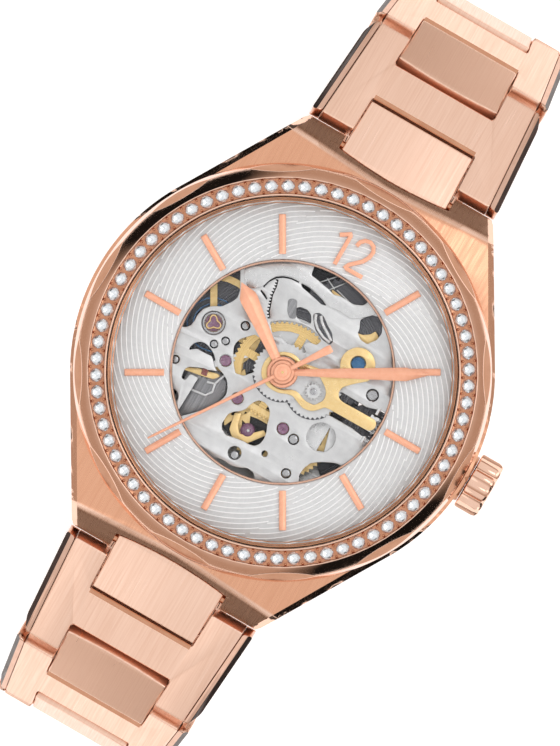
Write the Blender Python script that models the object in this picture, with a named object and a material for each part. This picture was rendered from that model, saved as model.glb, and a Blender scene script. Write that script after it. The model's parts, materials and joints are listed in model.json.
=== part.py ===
import bpy
import bmesh
from math import atan2, cos, hypot, pi, radians, sin, sqrt
from mathutils import Matrix, Vector
from mathutils.geometry import tessellate_polygon

# Sizes are in millimetres; every mesh is scaled to metres as it is made.
MM = 0.001
GAP = 0.05

# Case, heights from the outer face of the back.
CASE_R = 17.9
BORE_R = 14.78
CASE_Z = (0.92, 6.9)
LUG_END_Y = 19.95
LUG_INNER_X = 5.35
LUG_FLANK = 17.75
LUG_BREAK_Y = 17.95
BACK_R = 16.0
GLASS_R = 11.6
BEZEL_Z = (6.95, 9.75)
STONES = 70
STONE_RING_R = 15.64
STONE_R = 0.55
FLATS = 12
CRYSTAL_Z = (9.15, 10.1)

# Dial side.
DIAL_R = 14.6
APERTURE_R = 9.5
DIAL_Z = (7.0, 7.35)
MARK_IN, MARK_OUT, MARK_W = 9.95, 13.3, 0.58
HOUR_ANGLE, MINUTE_ANGLE, SECOND_ANGLE = -54.5, 61.0, 214.0
HOUR_L, MINUTE_L, SECOND_L, SECOND_TAIL = 8.3, 12.4, 12.6, 4.6

# Movement axes, x to 3 o'clock and y to 12 o'clock.
MOVE_R = 12.9
THIRD = (2.4, -4.1)
ESCAPE = (-2.2, -3.8)
FORK = (-4.64, -1.54)
BALANCE = (-7.1, 0.7)
BARREL = (3.56, 5.08)
MINUTE = (3.06, -0.1)
CENTRE_T, THIRD_PINION_T = 64, 8
THIRD_T, FOURTH_PINION_T = 60, 8
FOURTH_T, ESCAPE_PINION_T = 72, 6
BARREL_T, CENTRE_PINION_T = 60, 10
CANNON_T, MINUTE_T = 12, 36
MINUTE_PINION_T, HOUR_T = 10, 40
BALANCE_R = 4.2
STEM_Z = 4.6
PLATE_Z = (5.3, 6.3)
BRIDGE_Z = (2.75, 3.2)

# Crown.
CROWN_X = (18.1, 20.2)
CROWN_R = 2.5
FLUTES = 14

# Bracelet: tilt of each link below the lug line, centre link and H-link in turn.
TILTS = (16, 26, 42, 60, 78, 96, 112, 128, 142, 155)
LUG_PIN = (19.1, 3.2)
CENTRE_PITCH = 3.4
H_PITCH = 6.2
LINK_T = 2.5
END_W = 18.2
TAPER = 0.122
CENTRE_SHARE = 0.56
PIN_R = 0.42
FIRST_ARM = 2.4
BORE_CLEAR = 0.08
CLASP_HALF = 22.0

METALS = {
    "rose": ((0.80, 0.50, 0.38), 0.22, 1.0),
    "steel": ((0.72, 0.72, 0.72), 0.28, 1.0),
    "silver": ((0.80, 0.80, 0.79), 0.4, 1.0),
    "brass": ((0.83, 0.62, 0.30), 0.3, 1.0),
    "blued": ((0.20, 0.25, 0.42), 0.3, 1.0),
    "dial": ((0.86, 0.86, 0.85), 0.45, 0.3),
    "stone": ((0.92, 0.93, 0.95), 0.05, 0.0),
    "glass": ((0.85, 0.90, 0.92), 0.03, 0.0),
    "rubber": ((0.04, 0.04, 0.04), 0.7, 0.0),
    "resin": ((0.75, 0.75, 0.75), 0.5, 0.0),
}


def clear_scene():
    for thing in list(bpy.data.objects):
        bpy.data.objects.remove(thing, do_unlink=True)


def material_for(name, kind):
    colour, rough, metal = METALS[kind]
    shade = bpy.data.materials.new(name)
    shade.use_nodes = True
    node = shade.node_tree.nodes["Principled BSDF"]
    node.inputs["Base Color"].default_value = (*colour, 1.0)
    node.inputs["Roughness"].default_value = rough
    node.inputs["Metallic"].default_value = metal
    return shade


def place(name, bm, kind, at=(0, 0, 0), turn=None):
    """Turn a bmesh in millimetres into a named object in metres."""
    bmesh.ops.recalc_face_normals(bm, faces=bm.faces[:])
    bm.transform(Matrix.Scale(MM, 4))
    mesh = bpy.data.meshes.new(name)
    bm.to_mesh(mesh)
    bm.free()
    thing = bpy.data.objects.new(name, mesh)
    bpy.context.collection.objects.link(thing)
    thing.location = [v * MM for v in at]
    if turn is not None:
        thing.rotation_euler = turn.to_euler()
    mesh.materials.append(material_for(name, kind))
    bpy.context.view_layer.update()
    return thing


def combine(thing, other, how):
    """Join or cut with another object and remove that object."""
    step = thing.modifiers.new(how.lower(), "BOOLEAN")
    step.operation = how
    step.solver = "EXACT"
    step.object = other
    bpy.context.view_layer.objects.active = thing
    bpy.ops.object.modifier_apply(modifier=step.name)
    bpy.data.objects.remove(other, do_unlink=True)
    return thing


def fused(name, kind, shapes, at=(0, 0, 0), turn=None):
    """One solid from overlapping bmeshes, all in the same local frame."""
    whole = place(name, shapes[0], kind, at, turn)
    for shape in shapes[1:]:
        combine(whole, place("piece", shape, kind, at, turn), "UNION")
    return whole


def cut(thing, shapes, at=(0, 0, 0), turn=None):
    for shape in shapes:
        combine(thing, place("cutter", shape, "steel", at, turn), "DIFFERENCE")
    return thing


def circle(radius, count, x=0.0, y=0.0, start=0.0):
    step = 2 * pi / count
    return [(x + radius * cos(start + k * step), y + radius * sin(start + k * step))
            for k in range(count)]


def arc(radius, first, last, count, x=0.0, y=0.0):
    """Points on an arc, angles in degrees anticlockwise from +x."""
    turns = [radians(first + (last - first) * k / (count - 1)) for k in range(count)]
    return [(x + radius * cos(t), y + radius * sin(t)) for t in turns]


def dial_spot(radius, angle):
    """Point at a clock angle, degrees clockwise from 12 o'clock."""
    return radius * sin(radians(angle)), radius * cos(radians(angle))


def prism(loops, z0, z1):
    """Straight solid from an outline and its holes."""
    rings = [[Vector((x, y, 0)) for x, y in loop] for loop in loops]
    tris = tessellate_polygon(rings)
    flat = [p for ring in rings for p in ring]
    bm = bmesh.new()
    low = [bm.verts.new((p.x, p.y, z0)) for p in flat]
    high = [bm.verts.new((p.x, p.y, z1)) for p in flat]
    for a, b, c in tris:
        bm.faces.new((high[a], high[b], high[c]))
        bm.faces.new((low[c], low[b], low[a]))
    first = 0
    for ring in rings:
        count = len(ring)
        for k in range(count):
            i, j = first + k, first + (k + 1) % count
            bm.faces.new((low[i], low[j], high[j], high[i]))
        first += count
    bmesh.ops.recalc_face_normals(bm, faces=bm.faces[:])
    return bm


def side_prism(loops, half, taper=0.0):
    """Solid along x from (y, z) outlines; its half width falls by taper per unit of y."""
    bm = prism(loops, -1.0, 1.0)
    for v in bm.verts:
        y, z, side = v.co.x, v.co.y, v.co.z
        v.co = (side * (half - taper * y), y, z)
    bmesh.ops.recalc_face_normals(bm, faces=bm.faces[:])
    return bm


def turned(profile, steps, closed=True):
    """Solid of revolution about z from (r, z) points."""
    bm = bmesh.new()
    pts = [bm.verts.new((r, 0, z)) for r, z in profile]
    count = len(pts) if closed else len(pts) - 1
    for k in range(count):
        bm.edges.new((pts[k], pts[(k + 1) % len(pts)]))
    geom = bm.verts[:] + bm.edges[:]
    bmesh.ops.spin(bm, geom=geom, cent=(0, 0, 0), axis=(0, 0, 1), angle=2 * pi,
                   steps=steps, use_merge=True, use_duplicate=False)
    bmesh.ops.remove_doubles(bm, verts=bm.verts[:], dist=0.0005)
    bmesh.ops.recalc_face_normals(bm, faces=bm.faces[:])
    return bm


def tube(r_in, r_out, z0, z1, steps=40):
    return turned([(r_in, z0), (r_out, z0), (r_out, z1), (r_in, z1)], steps)


def disc(radius, z0, z1, steps=40, x=0.0, y=0.0):
    return prism([circle(radius, steps, x, y)], z0, z1)


def rod_x(radius, x0, x1, y=0.0, z=0.0, sides=10):
    bm = disc(radius, x0, x1, sides)
    bm.transform(Matrix.Translation((0, y, z)) @ Matrix.Rotation(pi / 2, 4, "Y"))
    return bm


def block(x0, x1, y0, y1, z0, z1):
    return prism([[(x0, y0), (x1, y0), (x1, y1), (x0, y1)]], z0, z1)


def gear(teeth, pitch_r, tooth_at):
    """Outline with pointed teeth; one tooth is centred on the angle tooth_at."""
    m = 2 * pitch_r / teeth
    step = pi / teeth
    pts = []
    for k in range(2 * teeth):
        r = pitch_r + (0.7 * m if k % 2 == 0 else -1.0 * m)
        pts.append((r * cos(tooth_at + k * step), r * sin(tooth_at + k * step)))
    return pts


def spoked(outline, rim_r, hub_r, arms, sides, arm_w=0.35):
    """Wheel outline with windows between its arms."""
    loops = [outline]
    for k in range(arms):
        a0 = 2 * pi * k / arms
        a1 = 2 * pi * (k + 1) / arms
        d_out = arm_w / rim_r
        d_in = arm_w / hub_r
        outer = [(rim_r * cos(a0 + d_out + (a1 - a0 - 2 * d_out) * i / (sides - 1)),
                  rim_r * sin(a0 + d_out + (a1 - a0 - 2 * d_out) * i / (sides - 1)))
                 for i in range(sides)]
        inner = [(hub_r * cos(a1 - d_in - (a1 - a0 - 2 * d_in) * i / 2),
                  hub_r * sin(a1 - d_in - (a1 - a0 - 2 * d_in) * i / 2))
                 for i in range(3)]
        loops.append(outer + inner)
    return loops


def line_angle(a, b):
    return atan2(b[1] - a[1], b[0] - a[0])


def build_case():
    """Case middle: round body, four lugs with two top slopes, bore and stem hole."""
    flank = radians(30)
    quarter = arc(CASE_R, -29, 29, 17)
    corner_x = (LUG_FLANK - LUG_END_Y * sin(flank)) / cos(flank)
    lug = [(corner_x + 0.2, LUG_END_Y - 0.3), (corner_x - 0.1, LUG_END_Y),
           (LUG_INNER_X, LUG_END_Y)]
    root = sqrt(CASE_R ** 2 - LUG_INNER_X ** 2)
    rest = radians(90) - atan2(LUG_INNER_X, root)
    notch = arc(CASE_R, rest * 180 / pi, 180 - rest * 180 / pi, 9)
    top = lug + notch + [(-x, y) for x, y in reversed(lug)]
    left = [(-x, y) for x, y in reversed(quarter)]
    bottom = [(-x, -y) for x, y in top]
    outline = quarter + top + left + bottom
    bm = prism([outline, circle(BORE_R, 56)], *CASE_Z)
    slopes = [((0, 16.9, CASE_Z[1]), (0, LUG_BREAK_Y, 6.5)),
              ((0, LUG_BREAK_Y, 6.5), (0, LUG_END_Y, 4.4)),
              ((0, 15.2, CASE_Z[0]), (0, LUG_END_Y, 1.75))]
    for side in (1, -1):
        for low, high in slopes:
            p = Vector((0, low[1] * side, low[2]))
            along = Vector((0, high[1] * side, high[2])) - p
            normal = Vector((0, -along.z, along.y))
            if normal.z < 0:
                normal.negate()
            if low[2] == CASE_Z[0]:
                normal.negate()
            geom = bm.verts[:] + bm.edges[:] + bm.faces[:]
            got = bmesh.ops.bisect_plane(bm, geom=geom, plane_co=p, plane_no=normal,
                                         clear_outer=True, dist=1e-5)
            edges = [e for e in got["geom_cut"] if isinstance(e, bmesh.types.BMEdge)]
            bmesh.ops.holes_fill(bm, edges=edges, sides=0)
    bmesh.ops.triangulate(bm, faces=bm.faces[:])
    case = place("case_middle", bm, "rose")
    cut(case, [rod_x(0.95, 14.0, 18.6, 0, STEM_Z, 16)])
    for side in (1, -1):
        bar = rod_x(PIN_R, -6.5, 6.5, LUG_PIN[0] * side, LUG_PIN[1], 10)
        combine(case, place("bar", bar, "rose"), "UNION")


def build_bezel():
    """Bezel with stone channel and twelve flats, and the ring of stones."""
    z0, z1 = BEZEL_Z
    profile = [(BORE_R, z0), (17.6, z0), (17.6, z0 + 0.5), (17.2, z0 + 1.75),
               (16.55, z1 - 0.05), (16.32, z1 - 0.1), (16.3, z1 - 0.65),
               (14.98, z1 - 0.65), (14.96, z1), (BORE_R, z1)]
    bm = turned(profile, 72)
    for k in range(FLATS):
        x, y = dial_spot(1.0, 360 * k / FLATS)
        at = Vector((x * 17.2, y * 17.2, z0 + 0.9))
        normal = Vector((x * cos(radians(28)), y * cos(radians(28)), sin(radians(28))))
        geom = bm.verts[:] + bm.edges[:] + bm.faces[:]
        got = bmesh.ops.bisect_plane(bm, geom=geom, plane_co=at, plane_no=normal,
                                     clear_outer=True, dist=1e-5)
        edges = [e for e in got["geom_cut"] if isinstance(e, bmesh.types.BMEdge)]
        bmesh.ops.holes_fill(bm, edges=edges, sides=0)
    bmesh.ops.triangulate(bm, faces=bm.faces[:])
    place("bezel", bm, "rose")
    base, face = z1 - 0.62, z1 - 0.45
    bm = bmesh.new()
    rims = []
    for r in (16.26, 15.02):
        for z in (base, face):
            spots = [dial_spot(r, 360 * k / STONES) for k in range(STONES)]
            rims.append([bm.verts.new((x, y, z)) for x, y in spots])
    out_low, out_high, in_low, in_high = rims
    for k in range(STONES):
        j = (k + 1) % STONES
        bm.faces.new((out_low[k], out_low[j], out_high[j], out_high[k]))
        bm.faces.new((in_low[j], in_low[k], in_high[k], in_high[j]))
        bm.faces.new((out_low[j], out_low[k], in_low[k], in_low[j]))
        x, y = dial_spot(STONE_RING_R, 360 * (k + 0.5) / STONES)
        foot = [bm.verts.new((p, q, face)) for p, q in circle(STONE_R, 4, x, y, atan2(y, x))]
        out, left, inn, right = foot
        a, b, c, d = out_high[k], out_high[j], in_high[j], in_high[k]
        for tri in ((a, b, out), (a, out, left), (a, left, d), (d, left, inn),
                    (d, inn, c), (c, inn, right), (c, right, b), (b, right, out)):
            bm.faces.new(tri)
        mid = Vector((x, y, face))
        tops = [bm.verts.new(mid + (v.co - mid) * 0.55 + Vector((0, 0, 0.4))) for v in foot]
        for i in range(4):
            bm.faces.new((foot[i], foot[(i + 1) % 4], tops[(i + 1) % 4], tops[i]))
        bm.faces.new(tops)
    place("stone_ring", bm, "stone")


def build_closures():
    """Crystal, flange, movement ring, case back and its window."""
    z0, z1 = CRYSTAL_Z
    place("crystal", turned([(0, z0), (14.7, z0), (14.7, z1 - 0.3), (14.3, z1), (0, z1)],
                            56, False), "glass")
    place("dial_flange", turned([(14.3, 7.4), (14.7, 7.4), (14.7, 9.1), (14.5, 9.1)],
                                56), "steel")
    ring = place("movement_ring", tube(MOVE_R + GAP, 14.7, 2.9, 6.9, 48), "resin")
    cut(ring, [rod_x(1.0, 12.0, 15.5, 0, STEM_Z, 12)])
    back = [(GLASS_R + GAP, 0.1), (BACK_R - 0.4, 0.1), (BACK_R, 0.5), (BACK_R, 0.87),
            (14.7, 0.87), (14.7, 1.5), (GLASS_R - 0.5, 1.5), (GLASS_R - 0.5, 1.25),
            (GLASS_R + GAP, 1.25)]
    place("case_back", turned(back, 44), "steel")
    place("case_back_glass", turned([(0, 0), (GLASS_R, 0), (GLASS_R, 1.2), (0, 1.2)],
                                    48, False), "glass")


def build_dial():
    """Dial, aperture ring, hour marks on a thin carrier, and the three hands."""
    place("dial", prism([circle(DIAL_R, 56), circle(APERTURE_R, 48)], *DIAL_Z), "dial")
    place("aperture_ring", tube(9.28, APERTURE_R - 0.05, 6.85, 7.5, 48), "rose")
    base = DIAL_Z[1] + 0.02
    shapes = [tube(11.5, 11.8, base, base + 0.1, 36)]
    for hour in range(1, 12):
        turn = Matrix.Rotation(-radians(30 * hour), 4, "Z")
        mark = block(-MARK_W / 2, MARK_W / 2, MARK_IN, MARK_OUT, base, base + 0.34)
        mark.transform(turn)
        shapes.append(mark)
    one = block(-1.15, -0.75, 10.55, 13.45, base, base + 0.34)
    shapes.append(one)
    two = [(0.0, 10.55), (1.7, 10.55), (1.7, 10.9), (0.62, 10.9), (1.6, 12.1),
           (1.72, 12.7), (1.4, 13.3), (0.85, 13.45), (0.3, 13.3), (0.0, 12.8),
           (0.38, 12.7), (0.6, 13.0), (0.9, 13.08), (1.22, 12.95), (1.32, 12.6),
           (1.2, 12.2), (0.0, 10.85)]
    shapes.append(prism([two], base, base + 0.34))
    fused("hour_markers", "rose", shapes)
    blades = [("hour_hand", HOUR_ANGLE, HOUR_L, 0.62, 0.30, 0.97, 1.3, 7.75, "rose"),
              ("minute_hand", MINUTE_ANGLE, MINUTE_L, 0.55, 0.26, 0.66, 0.98, 8.15, "rose")]
    for name, angle, length, wide, slim, bore, hub, z, kind in blades:
        tip = length * 0.86
        edge = [(slim, 0.2), (wide, tip), (0.0, length), (-wide, tip), (-slim, 0.2)]
        blade = prism([edge], z, z + 0.24)
        boss = disc(hub, z, z + 0.24, 24)
        thing = fused(name, kind, [boss, blade], (0, 0, 0),
                      Matrix.Rotation(-radians(angle), 4, "Z"))
        cut(thing, [disc(bore, z - 1, z + 1, 16)])
    z = 8.55
    line = [(0.15, -0.2), (0.1, SECOND_L), (-0.1, SECOND_L), (-0.15, -0.2),
            (-0.22, -2.2), (-0.36, -SECOND_TAIL + 0.4), (0, -SECOND_TAIL),
            (0.36, -SECOND_TAIL + 0.4), (0.22, -2.2)]
    turn = Matrix.Rotation(-radians(SECOND_ANGLE), 4, "Z")
    thing = fused("second_hand", "rose",
                  [prism([line], z, z + 0.16), disc(0.72, z, z + 0.22, 20)], (0, 0, 0), turn)
    cut(thing, [disc(0.22, z - 1, z + 1, 12)])


def build_plates():
    """Main plate with its windows, train bridge, balance cock and setting plate."""
    bx, by = BALANCE
    window = arc(3.9, 25, 200, 12, bx, by) + arc(1.3, 200, 25, 7, bx, by)
    gx, gy = BARREL
    barrel_a = arc(4.3, 5, 85, 8, gx, gy) + arc(2.0, 85, 5, 4, gx, gy)
    barrel_b = arc(4.3, 100, 175, 8, gx, gy) + arc(2.0, 175, 100, 4, gx, gy)
    holes = [window, barrel_a, barrel_b,
             circle(0.62, 16), circle(0.33, 10, *THIRD), circle(0.3, 10, *ESCAPE),
             circle(0.26, 10, *FORK), circle(0.36, 10, *BALANCE),
             circle(1.0, 14, *BARREL), circle(0.3, 10, *MINUTE),
             circle(1.5, 16, -4.7, -4.7), circle(1.1, 14, -0.2, -5.9),
             circle(1.23, 14, 5.7, -3.1), circle(0.7, 10, 2.1, -7.0),
             circle(0.9, 12, -2.2, 3.4),
             [(5.9, -0.95), (11.2, -0.95), (11.2, 0.95), (5.9, 0.95)]]
    place("main_plate", prism([circle(MOVE_R, 56)] + holes, *PLATE_Z), "silver")
    z0, z1 = BRIDGE_Z
    outline = arc(12.4, -152, 150, 40) + arc(4.9, 75, -65, 10, bx, by)
    slots = [circle(0.33, 10), circle(0.33, 10, *THIRD), circle(0.3, 10, *ESCAPE),
             circle(1.0, 14, *BARREL),
             arc(9.6, 215 + 30, 320, 8) + arc(6.9, 320, 215 + 30, 6),
             arc(10.2, -20, 12, 6) + arc(7.0, 12, -20, 4)]
    posts = [disc(0.7, z1 - 0.2, PLATE_Z[0] - 0.03, 10, *dial_spot(11.6, a))
             for a in (5, 105, 150, 205)]
    bearing = tube(0.3, 1.5, 1.9, z0 + 0.1, 24)
    fused("train_bridge", "steel", [prism([outline] + slots, z0, z1), bearing] + posts)
    cock = arc(4.6, 70, -60, 9, bx, by) + arc(12.4, 205, 153, 9)
    window = arc(3.6, 110, 250, 8, bx, by) + arc(1.6, 250, 110, 5, bx, by)
    body = prism([cock, circle(0.36, 10, bx, by), window], z0, z1)
    feet = [disc(0.55, z1 - 0.2, PLATE_Z[0] - 0.03, 10, x, y)
            for x, y in ((-10.6, 4.9), (-10.5, -4.3))]
    fused("balance_cock", "steel", [body] + feet)
    z0, z1 = 7.0, 7.2
    shapes = [disc(1.92, z0, z1, 20),
              prism([circle(1.75, 16, *MINUTE), circle(0.95, 12, *MINUTE)], z0, z1),
              block(4.5, 8.9, -0.85, 0.45, z0, z1),
              prism([[(3.9, 0.9), (4.8, 0.9), (5.6, 3.2), (4.6, 3.4)]], z0, z1),
              prism([circle(1.4, 16, 5.1, 3.9), circle(0.7, 10, 5.1, 3.9)], z0, z1),
              disc(0.45, PLATE_Z[1] + 0.02, z0 + 0.1, 10, 6.2, 3.9)]
    setting = fused("setting_plate", "brass", shapes)
    cut(setting, [disc(1.26, 6.5, 7.6, 16)])


def arbor(radius, z0, z1, sides=10):
    return disc(radius, z0, z1, sides)


def build_train():
    """Going train, escapement, barrel and motion work, each on its own axis."""
    half = {t: pi / t for t in (THIRD_PINION_T, FOURTH_PINION_T, ESCAPE_PINION_T,
                                CENTRE_PINION_T, MINUTE_T, HOUR_T)}
    d_third = hypot(*THIRD)
    m = d_third / (CENTRE_T + THIRD_PINION_T)
    centre_r, third_pinion_r = m * CENTRE_T, m * THIRD_PINION_T
    m = d_third / (THIRD_T + FOURTH_PINION_T)
    third_r, fourth_pinion_r = m * THIRD_T, m * FOURTH_PINION_T
    m = hypot(*ESCAPE) / (FOURTH_T + ESCAPE_PINION_T)
    fourth_r, escape_pinion_r = m * FOURTH_T, m * ESCAPE_PINION_T
    m = hypot(*BARREL) / (BARREL_T + CENTRE_PINION_T)
    barrel_r, centre_pinion_r = m * BARREL_T, m * CENTRE_PINION_T
    m = hypot(*MINUTE) / (CANNON_T + MINUTE_T)
    cannon_r, minute_r = m * CANNON_T, m * MINUTE_T
    m = hypot(*MINUTE) / (MINUTE_PINION_T + HOUR_T)
    minute_pinion_r, hour_r = m * MINUTE_PINION_T, m * HOUR_T
    to_third = line_angle((0, 0), THIRD)
    to_escape = line_angle((0, 0), ESCAPE)
    to_barrel = line_angle((0, 0), BARREL)
    to_minute = line_angle((0, 0), MINUTE)

    wheel = prism(spoked(gear(CENTRE_T, centre_r, to_third), 3.5, 1.3, 4, 7), 4.95, 5.15)
    pinion = prism([gear(CENTRE_PINION_T, centre_pinion_r, to_barrel + half[CENTRE_PINION_T])],
                   4.35, 5.0)
    thing = fused("centre_wheel", "brass", [wheel, pinion, arbor(0.44, 4.4, 8.0, 14)])
    cut(thing, [disc(0.26, 3, 9, 12)])
    cannon = prism([gear(CANNON_T, cannon_r, to_minute)], 6.38, 6.62)
    thing = fused("cannon_pinion", "steel", [cannon, disc(0.63, 6.4, 8.45, 16)])
    cut(thing, [disc(0.47, 6, 9, 14)])
    wheel = prism([gear(HOUR_T, hour_r, to_minute)], 6.68, 6.92)
    thing = fused("hour_wheel", "brass", [wheel, disc(0.94, 6.8, 8.02, 16)])
    cut(thing, [disc(0.67, 6, 9, 16)])

    wheel = prism(spoked(gear(THIRD_T, third_r, to_third + pi), 3.5, 1.2, 4, 7), 3.75, 3.95)
    pinion = prism([gear(THIRD_PINION_T, third_pinion_r, to_third + pi + half[THIRD_PINION_T])],
                   4.85, 5.22)
    fused("third_wheel", "brass", [wheel, pinion, arbor(0.25, 2.95, 5.9)], (*THIRD, 0))

    wheel = prism(spoked(gear(FOURTH_T, fourth_r, to_escape), 3.4, 1.2, 4, 7), 3.3, 3.45)
    pinion = prism([gear(FOURTH_PINION_T, fourth_pinion_r, to_third + half[FOURTH_PINION_T])],
                   3.4, 4.1)
    fused("fourth_wheel", "brass", [wheel, pinion, arbor(0.2, 2.9, 8.85)])

    pts = []
    for k in range(15):
        a = 2 * pi * k / 15
        pts += [(1.85 * cos(a), 1.85 * sin(a)), (2.5 * cos(a + 0.16), 2.5 * sin(a + 0.16)),
                (2.5 * cos(a + 0.2), 2.5 * sin(a + 0.2))]
    wheel = prism(spoked(pts, 1.5, 0.6, 4, 5, 0.2), 4.2, 4.35)
    pinion = prism([gear(ESCAPE_PINION_T, escape_pinion_r,
                         to_escape + pi + half[ESCAPE_PINION_T])], 3.25, 3.55)
    fused("escape_wheel", "brass", [wheel, pinion, arbor(0.2, 2.95, 5.9)], (*ESCAPE, 0))

    ahead = line_angle(FORK, BALANCE)
    lever = [(-0.3, -2.0), (0.1, -2.05), (0.35, -0.4), (2.2, -0.16), (2.62, -0.32),
             (2.68, -0.12), (2.3, 0.0), (2.68, 0.12), (2.62, 0.32), (2.2, 0.16),
             (0.35, 0.4), (0.1, 2.05), (-0.3, 2.0), (-0.22, 0.0)]
    fused("pallet_fork", "steel", [prism([lever], 4.2, 4.36), arbor(0.16, 4.12, 5.9)],
          (*FORK, 0), Matrix.Rotation(ahead, 4, "Z"))

    rim = spoked(circle(BALANCE_R, 40), BALANCE_R - 0.55, 0.7, 3, 9, 0.3)
    fused("balance_wheel", "brass", [prism(rim, 3.65, 3.98), disc(0.5, 3.9, 4.12, 12),
                                     arbor(0.22, 2.95, 5.9)], (*BALANCE, 0))
    build_spiral("hairspring", "blued", BALANCE, 0.42, 2.5, 4.0, 16, 0.07, (3.36, 3.5))

    teeth = prism([gear(BARREL_T, barrel_r, to_barrel + pi), circle(4.64, 24)], 4.42, 4.68)
    drum = turned([(0.72, 4.6), (4.5, 4.6), (4.5, 3.65), (4.78, 3.65), (4.78, 4.84),
                   (0.72, 4.84)], 24)
    fused("barrel", "brass", [drum, teeth], (*BARREL, 0))
    build_spiral("mainspring", "steel", BARREL, 1.15, 4.3, 6.0, 14, 0.12, (3.75, 4.5))
    fused("ratchet_wheel", "steel", [prism([gear(30, 1.5, 0)], 3.3, 3.5),
                                     disc(0.65, 2.9, 6.0, 14)], (*BARREL, 0))

    wheel = prism([gear(MINUTE_T, minute_r, to_minute + pi + half[MINUTE_T])], 6.4, 6.6)
    pinion = prism([gear(MINUTE_PINION_T, minute_pinion_r,
                         to_minute + pi + pi / MINUTE_PINION_T)], 6.5, 6.96)
    fused("minute_wheel", "brass", [wheel, pinion, arbor(0.2, 5.7, 6.98)], (*MINUTE, 0))

    outline = arc(12.2, 188, 352, 26) + arc(10.4, 352, 330, 4) + [(3.0, -1.3)]
    outline += arc(2.6, -20, 200, 12) + [(-3.0, -1.3)] + arc(10.4, 210, 188, 4)
    body = prism([outline, circle(1.6, 20)], 1.75, 2.2)
    heavy = prism([arc(12.2, 188, 352, 26) + arc(10.4, 352, 188, 22)], 2.0, 2.6)
    fused("rotor", "steel", [body, heavy])


def build_spiral(name, kind, axis, r0, r1, turns, per_turn, thick, levels):
    """Flat spiral ribbon; prints its least gap between neighbouring turns."""
    bm = bmesh.new()
    count = int(turns * per_turn) + 1
    rows = []
    for k in range(count):
        a = 2 * pi * k / per_turn
        r = r0 + (r1 - r0) * k / (count - 1)
        rows.append([bm.verts.new(((r + d) * cos(a), (r + d) * sin(a), z))
                     for d, z in ((-thick / 2, levels[0]), (thick / 2, levels[0]),
                                  (thick / 2, levels[1]), (-thick / 2, levels[1]))])
    for one, two in zip(rows, rows[1:]):
        for i in range(4):
            bm.faces.new((one[i], one[(i + 1) % 4], two[(i + 1) % 4], two[i]))
    bm.faces.new(rows[0][::-1])
    bm.faces.new(rows[-1])
    print(name, "least gap between turns, mm", round((r1 - r0) / turns - thick, 3))
    place(name, bm, kind, (*axis, 0))


def build_crown():
    """Fluted crown, stem, sliding pinion and the seal that slides with them."""
    x0, x1 = CROWN_X
    pts = []
    for k in range(FLUTES):
        a = 2 * pi * k / FLUTES
        step = 2 * pi / FLUTES
        for share, r in ((0.0, CROWN_R), (0.25, CROWN_R), (0.45, CROWN_R - 0.32),
                         (0.8, CROWN_R - 0.32)):
            pts.append((r * cos(a + share * step), r * sin(a + share * step)))
    bm = prism([pts], x0, x1)
    bm.verts.ensure_lookup_table()
    count = len(pts)
    low, high = bm.verts[:count], bm.verts[count:]
    sides = [f for f in bm.faces if len(f.verts) == 4]
    bmesh.ops.delete(bm, geom=sides, context="FACES_ONLY")
    rows = [list(low)]
    for x, share in ((x0 + 0.3, 1.0), (x1 - 0.5, 1.0)):
        rows.append([bm.verts.new((p * share, q * share, x)) for p, q in pts])
    rows.append(list(high))
    for v in low:
        v.co.x *= 0.84
        v.co.y *= 0.84
    for v in high:
        v.co.x *= 0.74
        v.co.y *= 0.74
    for one, two in zip(rows, rows[1:]):
        for k in range(count):
            j = (k + 1) % count
            bm.faces.new((one[k], one[j], two[j], two[k]))
    lie = Matrix.Rotation(pi / 2, 4, "Y")
    bm.transform(lie)
    at = (0, 0, STEM_Z)
    crown = place("crown", bm, "rose", at)
    cut(crown, [rod_x(0.5, x0 - 0.5, x0 + 1.2, 0, 0, 12)], at)
    pinion = prism([gear(12, 0.72, 0.0)], 8.3, 9.7)
    pinion.transform(lie)
    fused("winding_stem", "steel", [rod_x(0.44, 7.4, x0 + 1.1, 0, 0, 12), pinion], at)
    seal = tube(0.5, 0.9, 15.6, 16.4, 16)
    seal.transform(lie)
    place("crown_seal", seal, "rubber", at)


def link_width(s):
    return END_W / 2 - TAPER / 2 * s


def centre_profile():
    """Side outline of a centre link, its two ends round below and square above."""
    top = LINK_T / 2 - 0.1
    far = [(CENTRE_PITCH + 0.8, top), (CENTRE_PITCH + 1.0, top - 0.25)]
    far += [(y, z) for y, z in arc(1.0, 0, -90, 6, CENTRE_PITCH, 0)]
    near = arc(1.0, -90, -180, 6, 0, 0) + [(-1.0, top - 0.25), (-0.8, top)]
    return far + near


def bracelet_poses():
    """Pivot and direction of each link in the +y chain: (y, z, tilt, run)."""
    y, z = LUG_PIN
    run = 0.0
    poses = []
    for k, tilt in enumerate(TILTS):
        poses.append((y, z, tilt, run))
        step = CENTRE_PITCH if k % 2 == 0 else H_PITCH
        y += step * cos(radians(tilt))
        z -= step * sin(radians(tilt))
        run += step
    return poses, (y, z, run)


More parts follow.
